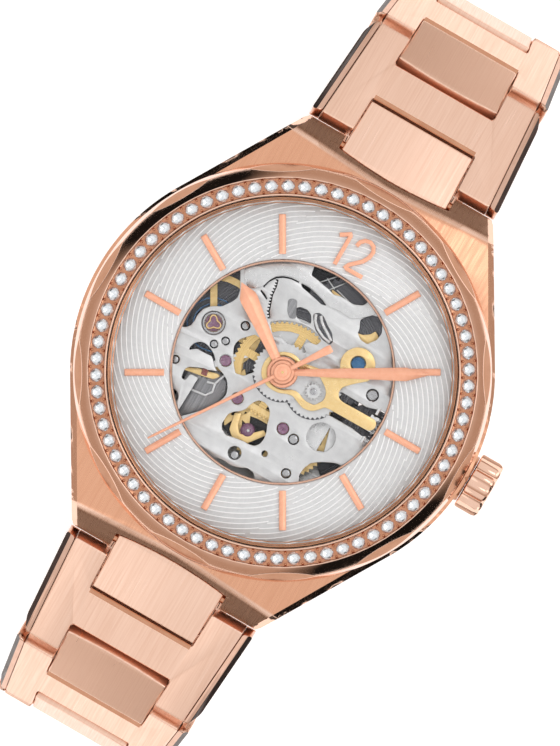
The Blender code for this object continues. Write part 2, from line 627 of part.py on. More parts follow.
def h_link(half, first):
    """H-shaped link in its own frame: near pivot at the origin, far pivot at H_PITCH."""
    end = CENTRE_PITCH / 2 - 0.1
    near_end = FIRST_ARM if first else end
    bar = 1.2
    t = TAPER / 2
    inner = half * CENTRE_SHARE + 0.12
    s0, s1 = -near_end, H_PITCH + end
    rows = [(half - t * s0, s0), (half - t * s1, s1), (inner - t * s1 * 0.56, s1),
            (inner - t * (H_PITCH - bar) * 0.56, H_PITCH - bar)]
    low = [(inner - t * bar * 0.56, bar), (inner - t * s0 * 0.56, s0)]
    left = [(-x, y) for x, y in reversed(rows)]
    near = [(-x, y) for x, y in reversed(low)]
    bm = prism([rows + left + near + low], -LINK_T / 2, LINK_T / 2)
    for sign, y in ((-1, s0), (1, s1)):
        co = Vector((0, y, 0 if first and sign < 0 else LINK_T / 2 - 0.5))
        normal = Vector((0, sign * 2.0, -0.85))
        geom = bm.verts[:] + bm.edges[:] + bm.faces[:]
        got = bmesh.ops.bisect_plane(bm, geom=geom, plane_co=co, plane_no=normal,
                                     clear_outer=True, dist=1e-5)
        edges = [e for e in got["geom_cut"] if isinstance(e, bmesh.types.BMEdge)]
        bmesh.ops.holes_fill(bm, edges=edges, sides=0)
    bmesh.ops.triangulate(bm, faces=bm.faces[:])
    reach = inner + 0.8
    pins = [rod_x(PIN_R, -reach, reach, y, 0, 10) for y in (0, H_PITCH)]
    return [bm] + pins


def build_bracelet():
    """Two chains of centre links and H-links that close at the clasp."""
    poses, end = bracelet_poses()
    bores = [circle(PIN_R + BORE_CLEAR, 10, 0, 0), circle(PIN_R + BORE_CLEAR, 10, CENTRE_PITCH, 0)]
    for side, base in (("12", 0.0), ("6", pi)):
        for k, (y, z, tilt, run) in enumerate(poses):
            turn = Matrix.Rotation(base, 4, "Z") @ Matrix.Rotation(-radians(tilt), 4, "X")
            at = Matrix.Rotation(base, 4, "Z") @ Vector((0, y, z))
            half = link_width(run)
            number = k // 2 + 1
            if k % 2 == 0:
                bm = side_prism([centre_profile()] + bores, half * CENTRE_SHARE - 0.05,
                                TAPER / 2 * CENTRE_SHARE)
                place(f"centre_link_{side}_{number}", bm, "rose", at, turn)
            else:
                fused(f"h_link_{side}_{number}", "rose", h_link(half, number == 1), at, turn)
    return end


def band(radius0, radius1, first, last, mid_z, count=10):
    """Arc band in (y, z) below its centre; angles in degrees from straight down."""
    pts = []
    for k in range(count):
        a = radians(first + (last - first) * k / (count - 1))
        pts.append((radius1 * sin(a), mid_z - radius1 * cos(a)))
    for k in range(count):
        a = radians(last + (first - last) * k / (count - 1))
        pts.append((radius0 * sin(a), mid_z - radius0 * cos(a)))
    return pts


def build_clasp(end):
    """Folding clasp: base on the 6 o'clock chain, cover, two buttons, end link."""
    y, z, run = end
    radius = y / sin(radians(CLASP_HALF))
    mid = z + radius * cos(radians(CLASP_HALF))
    half = link_width(run)
    narrow = half * CENTRE_SHARE - 0.05
    to_band = CLASP_HALF - 2.2

    def shifted(points, dy, dz):
        return [(p - dy, q - dz) for p, q in points]

    at = (0, -y, z)
    neck = shifted(band(radius - 0.75, radius + 0.25, -CLASP_HALF + 0.8, -10, mid, 7), -y, z)
    base = shifted(band(radius - 0.75, radius + 0.25, -13.5, 15.2, mid, 12), -y, z)
    thing = fused("clasp_base", "steel",
                  [side_prism([circle(1.0, 16, 0, 0)], narrow), side_prism([neck], narrow),
                   side_prism([base], half - 0.35)], at)
    ca = radians(4.0)
    by, bz = radius * sin(ca), mid - radius * cos(ca)
    swing = Matrix.Translation((0, by, bz)) @ Matrix.Rotation(ca, 4, "X")
    pockets = []
    for sign in (1, -1):
        x0, x1 = sorted((sign * (half - 1.5), sign * (half + 0.5)))
        pocket = block(x0, x1, -1.6, 1.6, -2, 2)
        pocket.transform(Matrix.Translation((0, y, -z)) @ swing)
        pockets.append(pocket)
    cut(thing, pockets + [rod_x(PIN_R + BORE_CLEAR, -12, 12, 0, 0, 12)], at)
    for sign, name in ((1, "clasp_button_a"), (-1, "clasp_button_b")):
        x0, x1 = sorted((sign * (half - 0.95), sign * (half + 0.35)))
        button = block(x0, x1, -1.5, 1.5, -0.2, 0.65)
        button.transform(Matrix.Rotation(ca, 4, "X"))
        place(name, button, "rose", (0, by, bz))
    hinge = radians(-to_band + 2.0)
    hy, hz = (radius + 0.35) * sin(hinge), mid - (radius + 0.35) * cos(hinge)
    lid = shifted(band(radius + 0.35, radius + 1.45, -to_band + 2.4, 15.2, mid, 12), hy, hz)
    place("clasp_cover", side_prism([lid], half), "rose", (0, hy, hz))
    tip = shifted(band(radius - 0.75, radius + 1.2, 15.75, CLASP_HALF - 0.75, mid, 5), y, z)
    thing = fused("clasp_end_link", "rose", [side_prism([circle(1.0, 16, 0, 0)], narrow),
                                             side_prism([tip], narrow)], (0, y, z))
    cut(thing, [rod_x(PIN_R + BORE_CLEAR, -12, 12, 0, 0, 12)], (0, y, z))
    print("clasp hinge", round(hy, 4), round(hz, 4), "button", round(by, 4), round(bz, 4))
    print("clasp pivot", round(y, 4), round(z, 4), "half width", round(half, 3))


def main():
    clear_scene()
    build_case()
    build_bezel()
    build_closures()
    build_dial()
    build_plates()
    build_train()
    build_crown()
    end = build_bracelet()
    build_clasp(end)
    poses, _ = bracelet_poses()
    for k, (y, z, tilt, run) in enumerate(poses):
        print("link pivot", k, round(y, 4), round(z, 4), tilt)


main()
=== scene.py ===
import json
from math import atan2, cos, degrees, hypot, pi, radians, sin, sqrt

import bpy
from mathutils import Matrix, Vector


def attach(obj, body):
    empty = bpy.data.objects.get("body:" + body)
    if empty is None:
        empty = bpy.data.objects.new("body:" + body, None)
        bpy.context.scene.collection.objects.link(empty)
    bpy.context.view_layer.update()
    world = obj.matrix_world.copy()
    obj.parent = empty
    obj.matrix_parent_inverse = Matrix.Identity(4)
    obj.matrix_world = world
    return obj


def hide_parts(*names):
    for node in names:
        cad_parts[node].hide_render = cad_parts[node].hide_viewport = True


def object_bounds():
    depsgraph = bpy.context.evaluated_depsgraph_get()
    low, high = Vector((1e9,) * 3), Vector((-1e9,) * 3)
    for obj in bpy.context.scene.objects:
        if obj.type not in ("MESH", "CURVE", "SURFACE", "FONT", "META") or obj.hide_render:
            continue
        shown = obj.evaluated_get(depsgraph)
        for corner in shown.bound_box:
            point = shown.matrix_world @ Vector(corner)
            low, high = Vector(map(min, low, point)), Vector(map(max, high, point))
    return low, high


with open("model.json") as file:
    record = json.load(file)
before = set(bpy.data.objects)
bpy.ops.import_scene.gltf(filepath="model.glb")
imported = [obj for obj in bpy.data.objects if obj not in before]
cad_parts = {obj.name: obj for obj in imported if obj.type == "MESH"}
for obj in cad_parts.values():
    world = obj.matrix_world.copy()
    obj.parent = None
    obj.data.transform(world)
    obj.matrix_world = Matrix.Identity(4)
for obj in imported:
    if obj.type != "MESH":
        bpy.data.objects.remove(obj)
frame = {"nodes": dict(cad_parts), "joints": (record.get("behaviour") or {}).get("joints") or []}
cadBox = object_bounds()
mm = 0.001  # shapes are drawn in millimetres and brought to metres when finished


# small tools for working by hand

def letGo():
    if bpy.context.mode != "OBJECT":
        bpy.ops.object.mode_set(mode="OBJECT")
    bpy.ops.object.select_all(action="DESELECT")


def pick(*things):
    letGo()
    for thing in things:
        thing.select_set(True)
    bpy.context.view_layer.objects.active = things[0]
    return things[0]


def edit(piece):
    pick(piece)
    bpy.ops.object.mode_set(mode="EDIT")
    bpy.ops.mesh.select_all(action="SELECT")


def leave():
    bpy.ops.object.mode_set(mode="OBJECT")
    return bpy.context.object


def tidyMesh(piece, distance=0.0004):
    edit(piece)
    bpy.ops.mesh.remove_doubles(threshold=distance)
    bpy.ops.mesh.delete_loose()
    bpy.ops.mesh.select_all(action="SELECT")
    bpy.ops.mesh.normals_make_consistent(inside=False)
    leave()
    if sum(face.center.dot(face.normal) * face.area for face in piece.data.polygons) < 0:
        edit(piece)
        bpy.ops.mesh.flip_normals()
        leave()
    return piece


def settle(piece):
    pick(piece)
    bpy.ops.object.transform_apply(location=True, rotation=True, scale=True)
    return piece


def applyStep(piece, kind, **settings):
    step = piece.modifiers.new("step", kind)
    for label, value in settings.items():
        setattr(step, label, value)
    pick(piece)
    bpy.ops.object.modifier_apply(modifier=step.name)
    return piece


def roundEdges(piece, width, rounds=2, angle=25):
    return applyStep(piece, "BEVEL", width=width, segments=rounds, limit_method="ANGLE",
                     angle_limit=radians(angle), use_clamp_overlap=True)


def withShape(piece, other, how):
    applyStep(piece, "BOOLEAN", operation=how, solver="EXACT", object=other)
    bpy.data.objects.remove(other, do_unlink=True)
    return piece


def joined(pieces):
    whole = pick(*pieces)
    if len(pieces) > 1:
        bpy.ops.object.join()
    return whole


# copies of a piece all round the dial's axis
def repeated(piece, count):
    letGo()
    bpy.ops.object.empty_add()
    helper = bpy.context.object
    helper.rotation_euler.z = 2 * pi / count
    bpy.context.view_layer.update()
    applyStep(piece, "ARRAY", use_relative_offset=False, use_object_offset=True, offset_object=helper,
              count=count)
    bpy.data.objects.remove(helper, do_unlink=True)
    return piece


def bisected(piece, point, normal):
    edit(piece)
    bpy.ops.mesh.bisect(plane_co=point, plane_no=Vector(normal).normalized(), use_fill=True,
                        clear_outer=True, threshold=0.00001)
    return leave()


# outlines

def ring(radius, count, x=0.0, y=0.0):
    return [(x + radius * cos(2 * pi * k / count), y + radius * sin(2 * pi * k / count))
            for k in range(count)]


def bow(radius, first, last, count, x=0.0, y=0.0):
    angles = [radians(first + (last - first) * k / (count - 1)) for k in range(count)]
    return [(x + radius * cos(a), y + radius * sin(a)) for a in angles]


def mirrored(points):
    return [(-x, y) for x, y in reversed(points)]


def softened(points, radius, steps=3):
    soft = []
    for k, (x, y) in enumerate(points):
        here = Vector((x, y))
        back = Vector(points[k - 1]) - here
        ahead = Vector(points[(k + 1) % len(points)]) - here
        reach = min(radius, back.length * 0.45, ahead.length * 0.45)
        first = here + back.normalized() * reach
        last = here + ahead.normalized() * reach
        for i in range(steps + 1):
            t = i / steps
            spot = first * (1 - t) ** 2 + here * 2 * t * (1 - t) + last * t * t
            soft.append((spot.x, spot.y))
    return soft


def clockSpot(radius, angle):
    return radius * sin(radians(angle)), radius * cos(radians(angle))


# outline of a strip of even width along a row of points
def ribbon(points, width):
    spots = [Vector(point) for point in points]
    left, right = [], []
    for k, spot in enumerate(spots):
        back = (spot - spots[k - 1]).normalized() if k else Vector((0, 0))
        ahead = (spots[k + 1] - spot).normalized() if k + 1 < len(spots) else Vector((0, 0))
        along = (back + ahead).normalized()
        side = Vector((-along.y, along.x)) * (width / 2)
        left.append(tuple(spot + side))
        right.append(tuple(spot - side))
    return left + right[::-1]


# starting shapes

def addLine(curve, spots, closed):
    line = curve.splines.new("POLY")
    line.points.add(len(spots) - 1)
    for point, spot in zip(line.points, spots):
        point.co = (*Vector(spot).to_3d(), 1)
    line.use_cyclic_u = closed


def meshOf(curve):
    piece = bpy.data.objects.new(curve.name, curve)
    bpy.context.collection.objects.link(piece)
    pick(piece)
    bpy.ops.object.convert(target="MESH")
    return bpy.context.object


# a flat curve with thickness and rounded edges, made a mesh
def plate(loops, low, high, edge=0.05, rounds=2):
    flat = bpy.data.curves.new("outline", "CURVE")
    flat.dimensions = "2D"
    flat.fill_mode = "BOTH"
    for loop in loops:
        addLine(flat, loop, True)
    flat.extrude = (high - low) / 2 - edge
    flat.bevel_depth = edge
    flat.bevel_resolution = rounds - 1
    flat.offset = -edge
    piece = meshOf(flat)
    piece.location.z = (low + high) / 2
    return tidyMesh(settle(piece))


# a profile of (radius, height) points spun about the upright axis
def lathe(profile, steps=96, x=0.0, y=0.0):
    letGo()
    bpy.ops.mesh.primitive_circle_add(vertices=len(profile), fill_type="NOTHING")
    piece = bpy.context.object
    for vert, (radius, height) in zip(piece.data.vertices, profile):
        vert.co = (radius, 0, height)
    edit(piece)
    bpy.ops.mesh.spin(steps=steps, angle=2 * pi, center=(0, 0, 0), axis=(0, 0, 1))
    leave()
    tidyMesh(piece)
    piece.location = (x, y, 0)
    return settle(piece)


# a blade with a raised ridge, from rows of (distance, half width, ridge height)
def blade(rows, low, side):
    letGo()
    bpy.ops.mesh.primitive_grid_add(x_subdivisions=2, y_subdivisions=len(rows) - 1, size=1)
    piece = bpy.context.object
    for k, vert in enumerate(piece.data.vertices):
        along, half, ridge = rows[k // 3]
        column = k % 3 - 1
        vert.co = (half * column, along, low + side + (ridge if column == 0 else 0.0))
    edit(piece)
    bpy.ops.mesh.extrude_region_move(TRANSFORM_OT_translate={"value": (0, 0, -side)})
    bpy.ops.transform.resize(value=(1, 1, 0), center_override=(0, 0, low))
    leave()
    return tidyMesh(piece, 0.00005)


# a round bar lying from side to side, to be rounded or cut with
def crossBar(radius, length, spot, sides=20):
    letGo()
    bpy.ops.mesh.primitive_cylinder_add(vertices=sides, radius=radius, depth=length, location=spot,
                                        rotation=(0, pi / 2, 0))
    return settle(bpy.context.object)


# a block to cut with
def block(size, spot, turn):
    letGo()
    bpy.ops.mesh.primitive_cube_add(size=1.0, location=spot, rotation=turn)
    bpy.context.object.scale = size
    return settle(bpy.context.object)


# node groups and finishes

def feed(tree, socket, value):
    if hasattr(value, "is_output"):
        tree.links.new(value, socket)
    else:
        socket.default_value = value


def addNode(tree, kind, inputs=None, **settings):
    node = tree.nodes.new("ShaderNode" + kind)
    for label, value in settings.items():
        setattr(node, label, value)
    for label, value in (inputs or {}).items():
        feed(tree, node.inputs[label], value)
    return node


def mathNode(tree, operation, *values):
    return addNode(tree, "Math", dict(enumerate(values)), operation=operation).outputs[0]


def ranged(tree, value, low, high, fromLow=0.3, fromHigh=0.7):
    return addNode(tree, "MapRange", {"Value": value, "From Min": fromLow, "From Max": fromHigh,
                                      "To Min": low, "To Max": high}).outputs[0]


def mixed(tree, share, first, second):
    first, second = [tone if hasattr(tone, "is_output") else (*tone, 1.0) for tone in (first, second)]
    return addNode(tree, "Mix", {0: share, 6: first, 7: second}, data_type="RGBA").outputs[2]


def newGroup(name, inputs, outputs):
    group = bpy.data.node_groups.new(name, "ShaderNodeTree")
    for label, value in inputs.items():
        kind = "NodeSocketVector" if isinstance(value, tuple) else "NodeSocketFloat"
        group.interface.new_socket(label, in_out="INPUT", socket_type=kind).default_value = value
    for label in outputs:
        group.interface.new_socket(label, in_out="OUTPUT", socket_type="NodeSocketFloat")
    return group, group.nodes.new("NodeGroupInput").outputs, group.nodes.new("NodeGroupOutput").inputs


# long fine lines left by a brush, stretched along one direction
def makeBrushLines():
    group, start, end = newGroup("brushLines", {"Vector": (0, 0, 0), "Stretch": (1, 1, 1)}, ["Streak"])
    scaled = addNode(group, "VectorMath", {0: start["Vector"], 1: start["Stretch"]}, operation="MULTIPLY")
    fine = addNode(group, "TexNoise", {"Vector": scaled.outputs[0], "Scale": 1.0, "Detail": 3.0})
    feed(group, end["Streak"], fine.outputs[0])
    return group


# rings of tool marks round the upright axis of the dial
def makeTurnedRings():
    group, start, end = newGroup("turnedRings", {"Vector": (0, 0, 0), "Rings": 9000.0, "Rays": 0.0},
                                 ["Streak"])
    x, y, z = addNode(group, "SeparateXYZ", {0: start["Vector"]}).outputs
    square = mathNode(group, "ADD", mathNode(group, "MULTIPLY", x, x), mathNode(group, "MULTIPLY", y, y))
    radius = mathNode(group, "MULTIPLY", mathNode(group, "SQRT", square), start["Rings"])
    angle = mathNode(group, "MULTIPLY", mathNode(group, "ARCTAN2", y, x), start["Rays"])
    spot = addNode(group, "CombineXYZ", {0: radius, 1: angle})
    noise = addNode(group, "TexNoise", {"Vector": spot.outputs[0], "Scale": 1.0, "Detail": 2.0})
    feed(group, end["Streak"], noise.outputs[0])
    return group


# soft smears and a few hair scratches from handling
def makeHandling():
    group, start, end = newGroup("handling", {"Vector": (0, 0, 0), "Smears": 260.0, "Scratches": 2200.0},
                                 ["Smear", "Scratch"])
    smear = addNode(group, "TexNoise", {"Vector": start["Vector"], "Scale": start["Smears"], "Detail": 4.0})
    hair = addNode(group, "TexNoise", {"Vector": start["Vector"], "Scale": start["Scratches"], "Detail": 1.0,
                                       "Distortion": 1.5})
    feed(group, end["Smear"], smear.outputs[0])
    feed(group, end["Scratch"], ranged(group, hair.outputs[0], 0.0, 1.0, 0.68, 0.74))
    return group


brushLines = makeBrushLines()
turnedRings = makeTurnedRings()
handling = makeHandling()
finishes = {}
white = (1.0, 1.0, 1.0, 1.0)


def newMaterial(name, values):
    made = bpy.data.materials.new(name)
    made.use_nodes = True
    base = made.node_tree.nodes["Principled BSDF"]
    for label, value in values.items():
        base.inputs[label].default_value = value
    return made, made.node_tree, base


# painted shade: darker above a level, where a part only shows in the depth of the movement
def shadedInDepth(tree, spot, colour, level, deep):
    height = addNode(tree, "SeparateXYZ", {0: spot}).outputs[2]
    return mixed(tree, mathNode(tree, "GREATER_THAN", height, level * mm), colour, deep)


# a lighter band painted as a highlight along the ridge across the lugs, and painted shade on the lug ends
# beyond it
def ridgeLightAndShade(tree, spot, colour, start, lean, ridgeHighlight, endShade):
    x, y, z = addNode(tree, "SeparateXYZ", {0: spot}).outputs
    across = mathNode(tree, "MULTIPLY", mathNode(tree, "ABSOLUTE", x), lean)
    beyond = mathNode(tree, "SUBTRACT", mathNode(tree, "ABSOLUTE", y), across)
    for low, high, tone in ((-0.3, -0.1, ridgeHighlight), (0.1, 0.3, endShade)):
        share = ranged(tree, beyond, 0.0, 1.0, (start + low) * mm, (start + high) * mm)
        colour = mixed(tree, share, colour, tone)
    return colour


def finish(name, colour, shade, rough, grain, bump, more={}):
    values = {"Metallic": more.get("metal", 1.0), "Coat Weight": more.get("coat", 0.0)}
    made, tree, base = newMaterial(name, values)
    spot = addNode(tree, "TexCoord").outputs["Object"]
    if "rays" in more:
        marks = addNode(tree, "Group", {"Vector": spot, "Rings": grain, "Rays": more["rays"]},
                        node_tree=turnedRings)
    else:
        stretch = grain if isinstance(grain, tuple) else (grain, grain, grain)
        marks = addNode(tree, "Group", {"Vector": spot, "Stretch": stretch}, node_tree=brushLines)
    streak = marks.outputs["Streak"]
    worn = addNode(tree, "Group", {"Vector": spot}, node_tree=handling).outputs
    tone = mixed(tree, ranged(tree, streak, 0.0, 1.0), colour, shade)
    if "deep" in more:
        tone = shadedInDepth(tree, spot, tone, *more["deep"])
    if "ridge" in more:
        tone = ridgeLightAndShade(tree, spot, tone, *more["ridge"])
    feed(tree, base.inputs["Base Color"], tone)
    smear = ranged(tree, worn["Smear"], 0.0, more.get("smear", 0.04))
    feed(tree, base.inputs["Roughness"], mathNode(tree, "ADD", ranged(tree, streak, *rough), smear))
    height = mathNode(tree, "SUBTRACT", streak, worn["Scratch"])
    relief = addNode(tree, "Bump", {"Strength": bump, "Distance": 0.02 * mm, "Height": height})
    feed(tree, base.inputs["Normal"], relief.outputs[0])
    finishes[name] = made


# clear glass that lets light and shadow rays straight through
def glassFinish(name):
    made, tree, base = newMaterial(name, {"Base Color": white, "Roughness": 0.0, "Transmission Weight": 1.0,
                                          "IOR": 1.12})
    shadow = addNode(tree, "LightPath").outputs["Is Shadow Ray"]
    clear = addNode(tree, "BsdfTransparent").outputs[0]
    either = addNode(tree, "MixShader", {0: shadow, 1: base.outputs[0], 2: clear})
    feed(tree, tree.nodes["Material Output"].inputs["Surface"], either.outputs[0])
    finishes[name] = made


roseColour = (0.97, 0.665, 0.52)
roseShade = (0.90, 0.59, 0.445)
steelColour = (0.72, 0.72, 0.71)
steelShade = (0.58, 0.58, 0.57)
depthShade = (0.07, 0.07, 0.075)
gem = {"metal": 0.0, "coat": 1.0}

# colour, shade, roughness range, scale of the grain (by axis, alike all over, or rings with rays),
# bump and what else differs
finishLook = {
    "roseSatin": (roseColour, roseShade, (0.26, 0.40), (9000, 170, 170), 0.16),
    # darker copper of the case and lug tops as painted shade, with a painted highlight along the lug ridge
    # and painted shade on the lug ends
    "roseFacetShaded": ((0.80, 0.42, 0.265), (0.74, 0.375, 0.23), (0.2, 0.32), (6000, 250, 250), 0.03,
                  {"ridge": (17.72, 0.062, (0.92, 0.62, 0.48), (0.34, 0.19, 0.125))}),
    "rosePolish": ((0.92, 0.60, 0.46), (0.88, 0.56, 0.42), (0.05, 0.09), 900, 0.01, {"smear": 0.03}),
    # darker copper for the bracelet rails and the opening rim, as painted shade
    "roseRailShaded": ((0.74, 0.47, 0.36), (0.68, 0.42, 0.31), (0.08, 0.14), 900, 0.02, {"smear": 0.03}),
    # darker copper for the spring bars and the near chamfers of the h links, as painted shade
    "roseGrooveShade": ((0.66, 0.34, 0.21), (0.58, 0.28, 0.165), (0.14, 0.22), 900, 0.02),
    # near black for the rounded outer rail edges, as painted shade
    "roseEdgeShade": ((0.06, 0.035, 0.028), (0.04, 0.025, 0.02), (0.2, 0.3), 900, 0.02),
    "roseFlat": ((0.92, 0.47, 0.31), (0.88, 0.42, 0.27), (0.30, 0.40), 2500, 0.05, {"metal": 0.65}),
    # dark copper for the bezel flats, the flange top and the crown collar, as painted shade
    "bezelFlatShaded": ((0.48, 0.235, 0.135), (0.43, 0.20, 0.11), (0.1, 0.18), 900, 0.02, {"smear": 0.03}),
    "copperSeat": ((0.66, 0.32, 0.19), (0.48, 0.21, 0.12), (0.16, 0.3), 3000, 0.1),
    # dark brown for the flange wall, as painted shade
    "flangeShadeCopper": ((0.34, 0.165, 0.095), (0.29, 0.135, 0.075), (0.2, 0.3), 900, 0.02),
    "steelBrushed": (steelColour, steelShade, (0.22, 0.36), (9000, 170, 170), 0.14),
    "steelTurned": (steelColour, steelShade, (0.2, 0.34), 9000.0, 0.12, {"rays": 0.0}),
    "steelPolish": ((0.78, 0.78, 0.78), (0.70, 0.70, 0.70), (0.06, 0.12), 900, 0.01),
    "pinSteel": ((0.46, 0.46, 0.47), (0.38, 0.38, 0.39), (0.2, 0.3), 2500, 0.03),
    "plateSilver": ((0.66, 0.66, 0.66), (0.58, 0.58, 0.585), (0.26, 0.36), 1300, 0.05, {"smear": 0.1}),
    "archSilver": ((0.68, 0.68, 0.68), (0.60, 0.60, 0.605), (0.22, 0.32), 2600, 0.06, {"smear": 0.08}),
    # the bridges and the rotor are painted darker on their upper faces, as painted shade in the depth of the
    # movement
    "bridgeSilver": ((0.72, 0.72, 0.72), (0.60, 0.60, 0.61), (0.24, 0.38), 6000.0, 0.12,
                     {"rays": 0.0, "deep": (3.12, depthShade)}),
    "rotorSteel": ((0.70, 0.70, 0.70), (0.56, 0.56, 0.57), (0.22, 0.36), (260, 26000, 260), 0.1,
                   {"deep": (2.5, depthShade)}),
    # dark steel for the barrel, the window backs and a plate inlay, as painted shade
    "deepSteel": ((0.16, 0.16, 0.17), (0.08, 0.08, 0.09), (0.2, 0.36), 5000.0, 0.1, {"rays": 0.0}),
    # dark grey for the lower floor and a plate inlay, as painted shade in recesses
    "recessShadeSteel": ((0.36, 0.36, 0.37), (0.22, 0.22, 0.23), (0.24, 0.4), (6000, 200, 200), 0.12),
    "giltRings": ((0.84, 0.61, 0.29), (0.74, 0.51, 0.21), (0.2, 0.34), 7000.0, 0.12, {"rays": 0.0}),
    "giltSatin": ((0.87, 0.65, 0.33), (0.80, 0.57, 0.26), (0.24, 0.36), 2500, 0.08),
    "bluedSteel": ((0.10, 0.22, 0.38), (0.05, 0.12, 0.24), (0.1, 0.2), 3000, 0.02),
    "dialSilver": ((0.65, 0.65, 0.65), (0.61, 0.61, 0.615), (0.34, 0.44), 500.0, 0.05,
                   {"rays": 40.0, "metal": 0.5}),
    # lighter colour of the dial lines, as a painted highlight
    "dialLineHighlight": ((0.97, 0.97, 0.97), (0.92, 0.92, 0.92), (0.28, 0.36), 2500, 0.03, {"metal": 0.4}),
    "rubyStone": ((0.24, 0.12, 0.20), (0.14, 0.05, 0.11), (0.05, 0.12), 1500, 0.0, gem),
    "redStone": ((0.30, 0.07, 0.05), (0.18, 0.03, 0.03), (0.05, 0.12), 1500, 0.0, gem),
    "sealRubber": ((0.03, 0.03, 0.03), (0.05, 0.05, 0.05), (0.6, 0.8), 2500, 0.2, {"metal": 0.0}),
    "ringResin": ((0.50, 0.50, 0.50), (0.42, 0.42, 0.42), (0.45, 0.6), 1800, 0.1, {"metal": 0.0}),
    # light and dark mottling of the stones, as painted facet reflections
    "brilliant": ((0.95, 0.96, 0.98), (0.72, 0.76, 0.80), (0.03, 0.06), 5200, 0.0, {"metal": 0.8})}
for name, row in finishLook.items():
    finish(name, *row)
glassFinish("clearGlass")


def painted(piece, *looks):
    piece.data.materials.clear()
    for look in looks:
        piece.data.materials.append(finishes[look])
    return piece


# brings a piece to metres, with its finish, its body and the solids it stands for
def finishPiece(piece, name, look, body, stands=(), smooth=35):
    pick(piece)
    piece.name = name
    piece.data.name = name
    if look:
        painted(piece, look)
    if smooth == 0:
        bpy.ops.object.shade_flat()
    elif smooth:
        bpy.ops.object.shade_smooth_by_angle(angle=radians(smooth))
    piece.scale = (mm, mm, mm)
    settle(piece)
    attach(piece, body)
    if stands:
        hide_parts(*stands)


# stage, light and camera
stageLook = {"floor": (0.97, 0.97, 0.97, 1.0), "floorSize": 3.0, "glow": 0.4, "dark": (0.01, 0.01, 0.01),
             "across": (-0.866, 0.5), "card": (0.6, 1.2, 1.0), "cardAway": 0.44, "skyPower": 0.95,
             "horizon": (0.54, 0.42, 0.34), "skyFrom": (0.12, 0.6), "darkFrom": (0.84, 0.93),
             "lights": {"upper": ((0.15, 0.27, 0.56), 0.16, 0.12), "right": ((0.42, 0.1, 0.42), 0.3, 0.25),
                        "lower": ((-0.2, -0.45, 0.4), 0.35, 0.12)}}
cameraLook = {"frameHigh": 746, "pixelsPerMm": 11.9, "distance": 900.0, "level": 8.0, "roll": 30.0,
              "aim": (-0.154, -0.16), "sensor": 36.0}


def makeFloor():
    look = stageLook
    letGo()
    bpy.ops.mesh.primitive_plane_add(size=look["floorSize"], location=(0, 0, cadBox[0].z - 0.5 * mm))
    floor = bpy.context.object
    floor.name = "floor"
    pale, tree, base = newMaterial("paleFloor", {"Base Color": look["floor"], "Roughness": 0.9,
                                                 "Emission Color": white, "Emission Strength": look["glow"]})
    floor.data.materials.append(pale)


# dark cards that only show in the polished edges
def makeCards():
    look = stageLook
    dark, tree, base = newMaterial("darkCard", {"Base Color": (*look["dark"], 1.0)})
    for name, away in (("card_left", look["cardAway"]), ("card_right", -look["cardAway"])):
        letGo()
        bpy.ops.mesh.primitive_plane_add(size=1.0, rotation=(0, 0, radians(150)))
        card = bpy.context.object
        card.name = name
        card.scale = look["card"]
        card.location = (look["across"][0] * away, look["across"][1] * away, cadBox[0].z)
        card.data.materials.append(dark)
        card.visible_camera = card.visible_diffuse = card.visible_shadow = False


# a pale sky that is warm near the horizon and dark on two sides, and three soft lights
def makeLight():
    look = stageLook
    world = bpy.data.worlds.new("studio")
    bpy.context.scene.world = world
    world.use_nodes = True
    tree = world.node_tree
    back = tree.nodes["Background"]
    x, y, height = addNode(tree, "SeparateXYZ", {0: addNode(tree, "TexCoord").outputs["Generated"]}).outputs
    across = mathNode(tree, "ADD", mathNode(tree, "MULTIPLY", x, look["across"][0]),
                      mathNode(tree, "MULTIPLY", y, look["across"][1]))
    sky = mixed(tree, ranged(tree, height, 0.0, 1.0, *look["skyFrom"]), look["horizon"], white[:3])
    dark = ranged(tree, mathNode(tree, "ABSOLUTE", across), 0.0, 1.0, *look["darkFrom"])
    feed(tree, back.inputs["Color"], mixed(tree, dark, sky, look["dark"]))
    back.inputs["Strength"].default_value = look["skyPower"]
    for name, (place, size, power) in look["lights"].items():
        letGo()
        bpy.ops.object.light_add(type="AREA", location=place)
        light = bpy.context.object
        light.name = name
        light.data.size = size
        light.data.energy = power
        light.visible_camera = False
        light.rotation_euler = Vector(place).to_track_quat("Z", "Y").to_euler()


def makeCamera():
    look = cameraLook
    letGo()
    x, y = look["aim"]
    height = look["level"] + look["distance"]
    bpy.ops.object.camera_add(location=(x * mm, y * mm, height * mm), rotation=(0, 0, radians(look["roll"])))
    camera = bpy.context.object
    tall = look["frameHigh"] / look["pixelsPerMm"]
    camera.data.sensor_width = look["sensor"]
    camera.data.lens = look["sensor"] * look["distance"] / tall
    camera.data.clip_start = 0.05
    camera.data.clip_end = 20.0
    bpy.context.scene.camera = camera
    bpy.context.scene.view_settings.view_transform = "Standard"


makeFloor()
makeCards()
makeLight()
makeCamera()
print("stage and camera ready")

# case with four lugs
caseLook = {"radius": 17.9, "bore": 14.78, "low": 0.92, "high": 6.9, "edge": 0.14, "smooth": 23,
            "lugEnd": 19.95, "lugInner": 5.35, "outerCut": (0.2, 0.12, 0.32), "innerCut": 0.15,
            "flank": 17.75, "flankTilt": 30.0, "flankEdge": 0.44, "flankFall": 0.72, "coneFrom": 17.1,
            "coneFall": 0.24, "ridgeY": 17.95, "ridgeZ": 6.5, "endFall": 1.05, "soft": 0.34,
            "lip": (5.7, 18.34, 18.8), "lipBack": 16.6, "lipZ": 4.85, "underFrom": 15.2, "underRise": 0.83,
            "draft": 0.07, "draftTop": 4.4, "draftOver": 2.4, "stemZ": 4.6, "stemX": 16.4,
            "stemHole": (0.95, 5.0), "bar": (0.42, 12.2), "barY": 19.1, "barZ": 3.2}


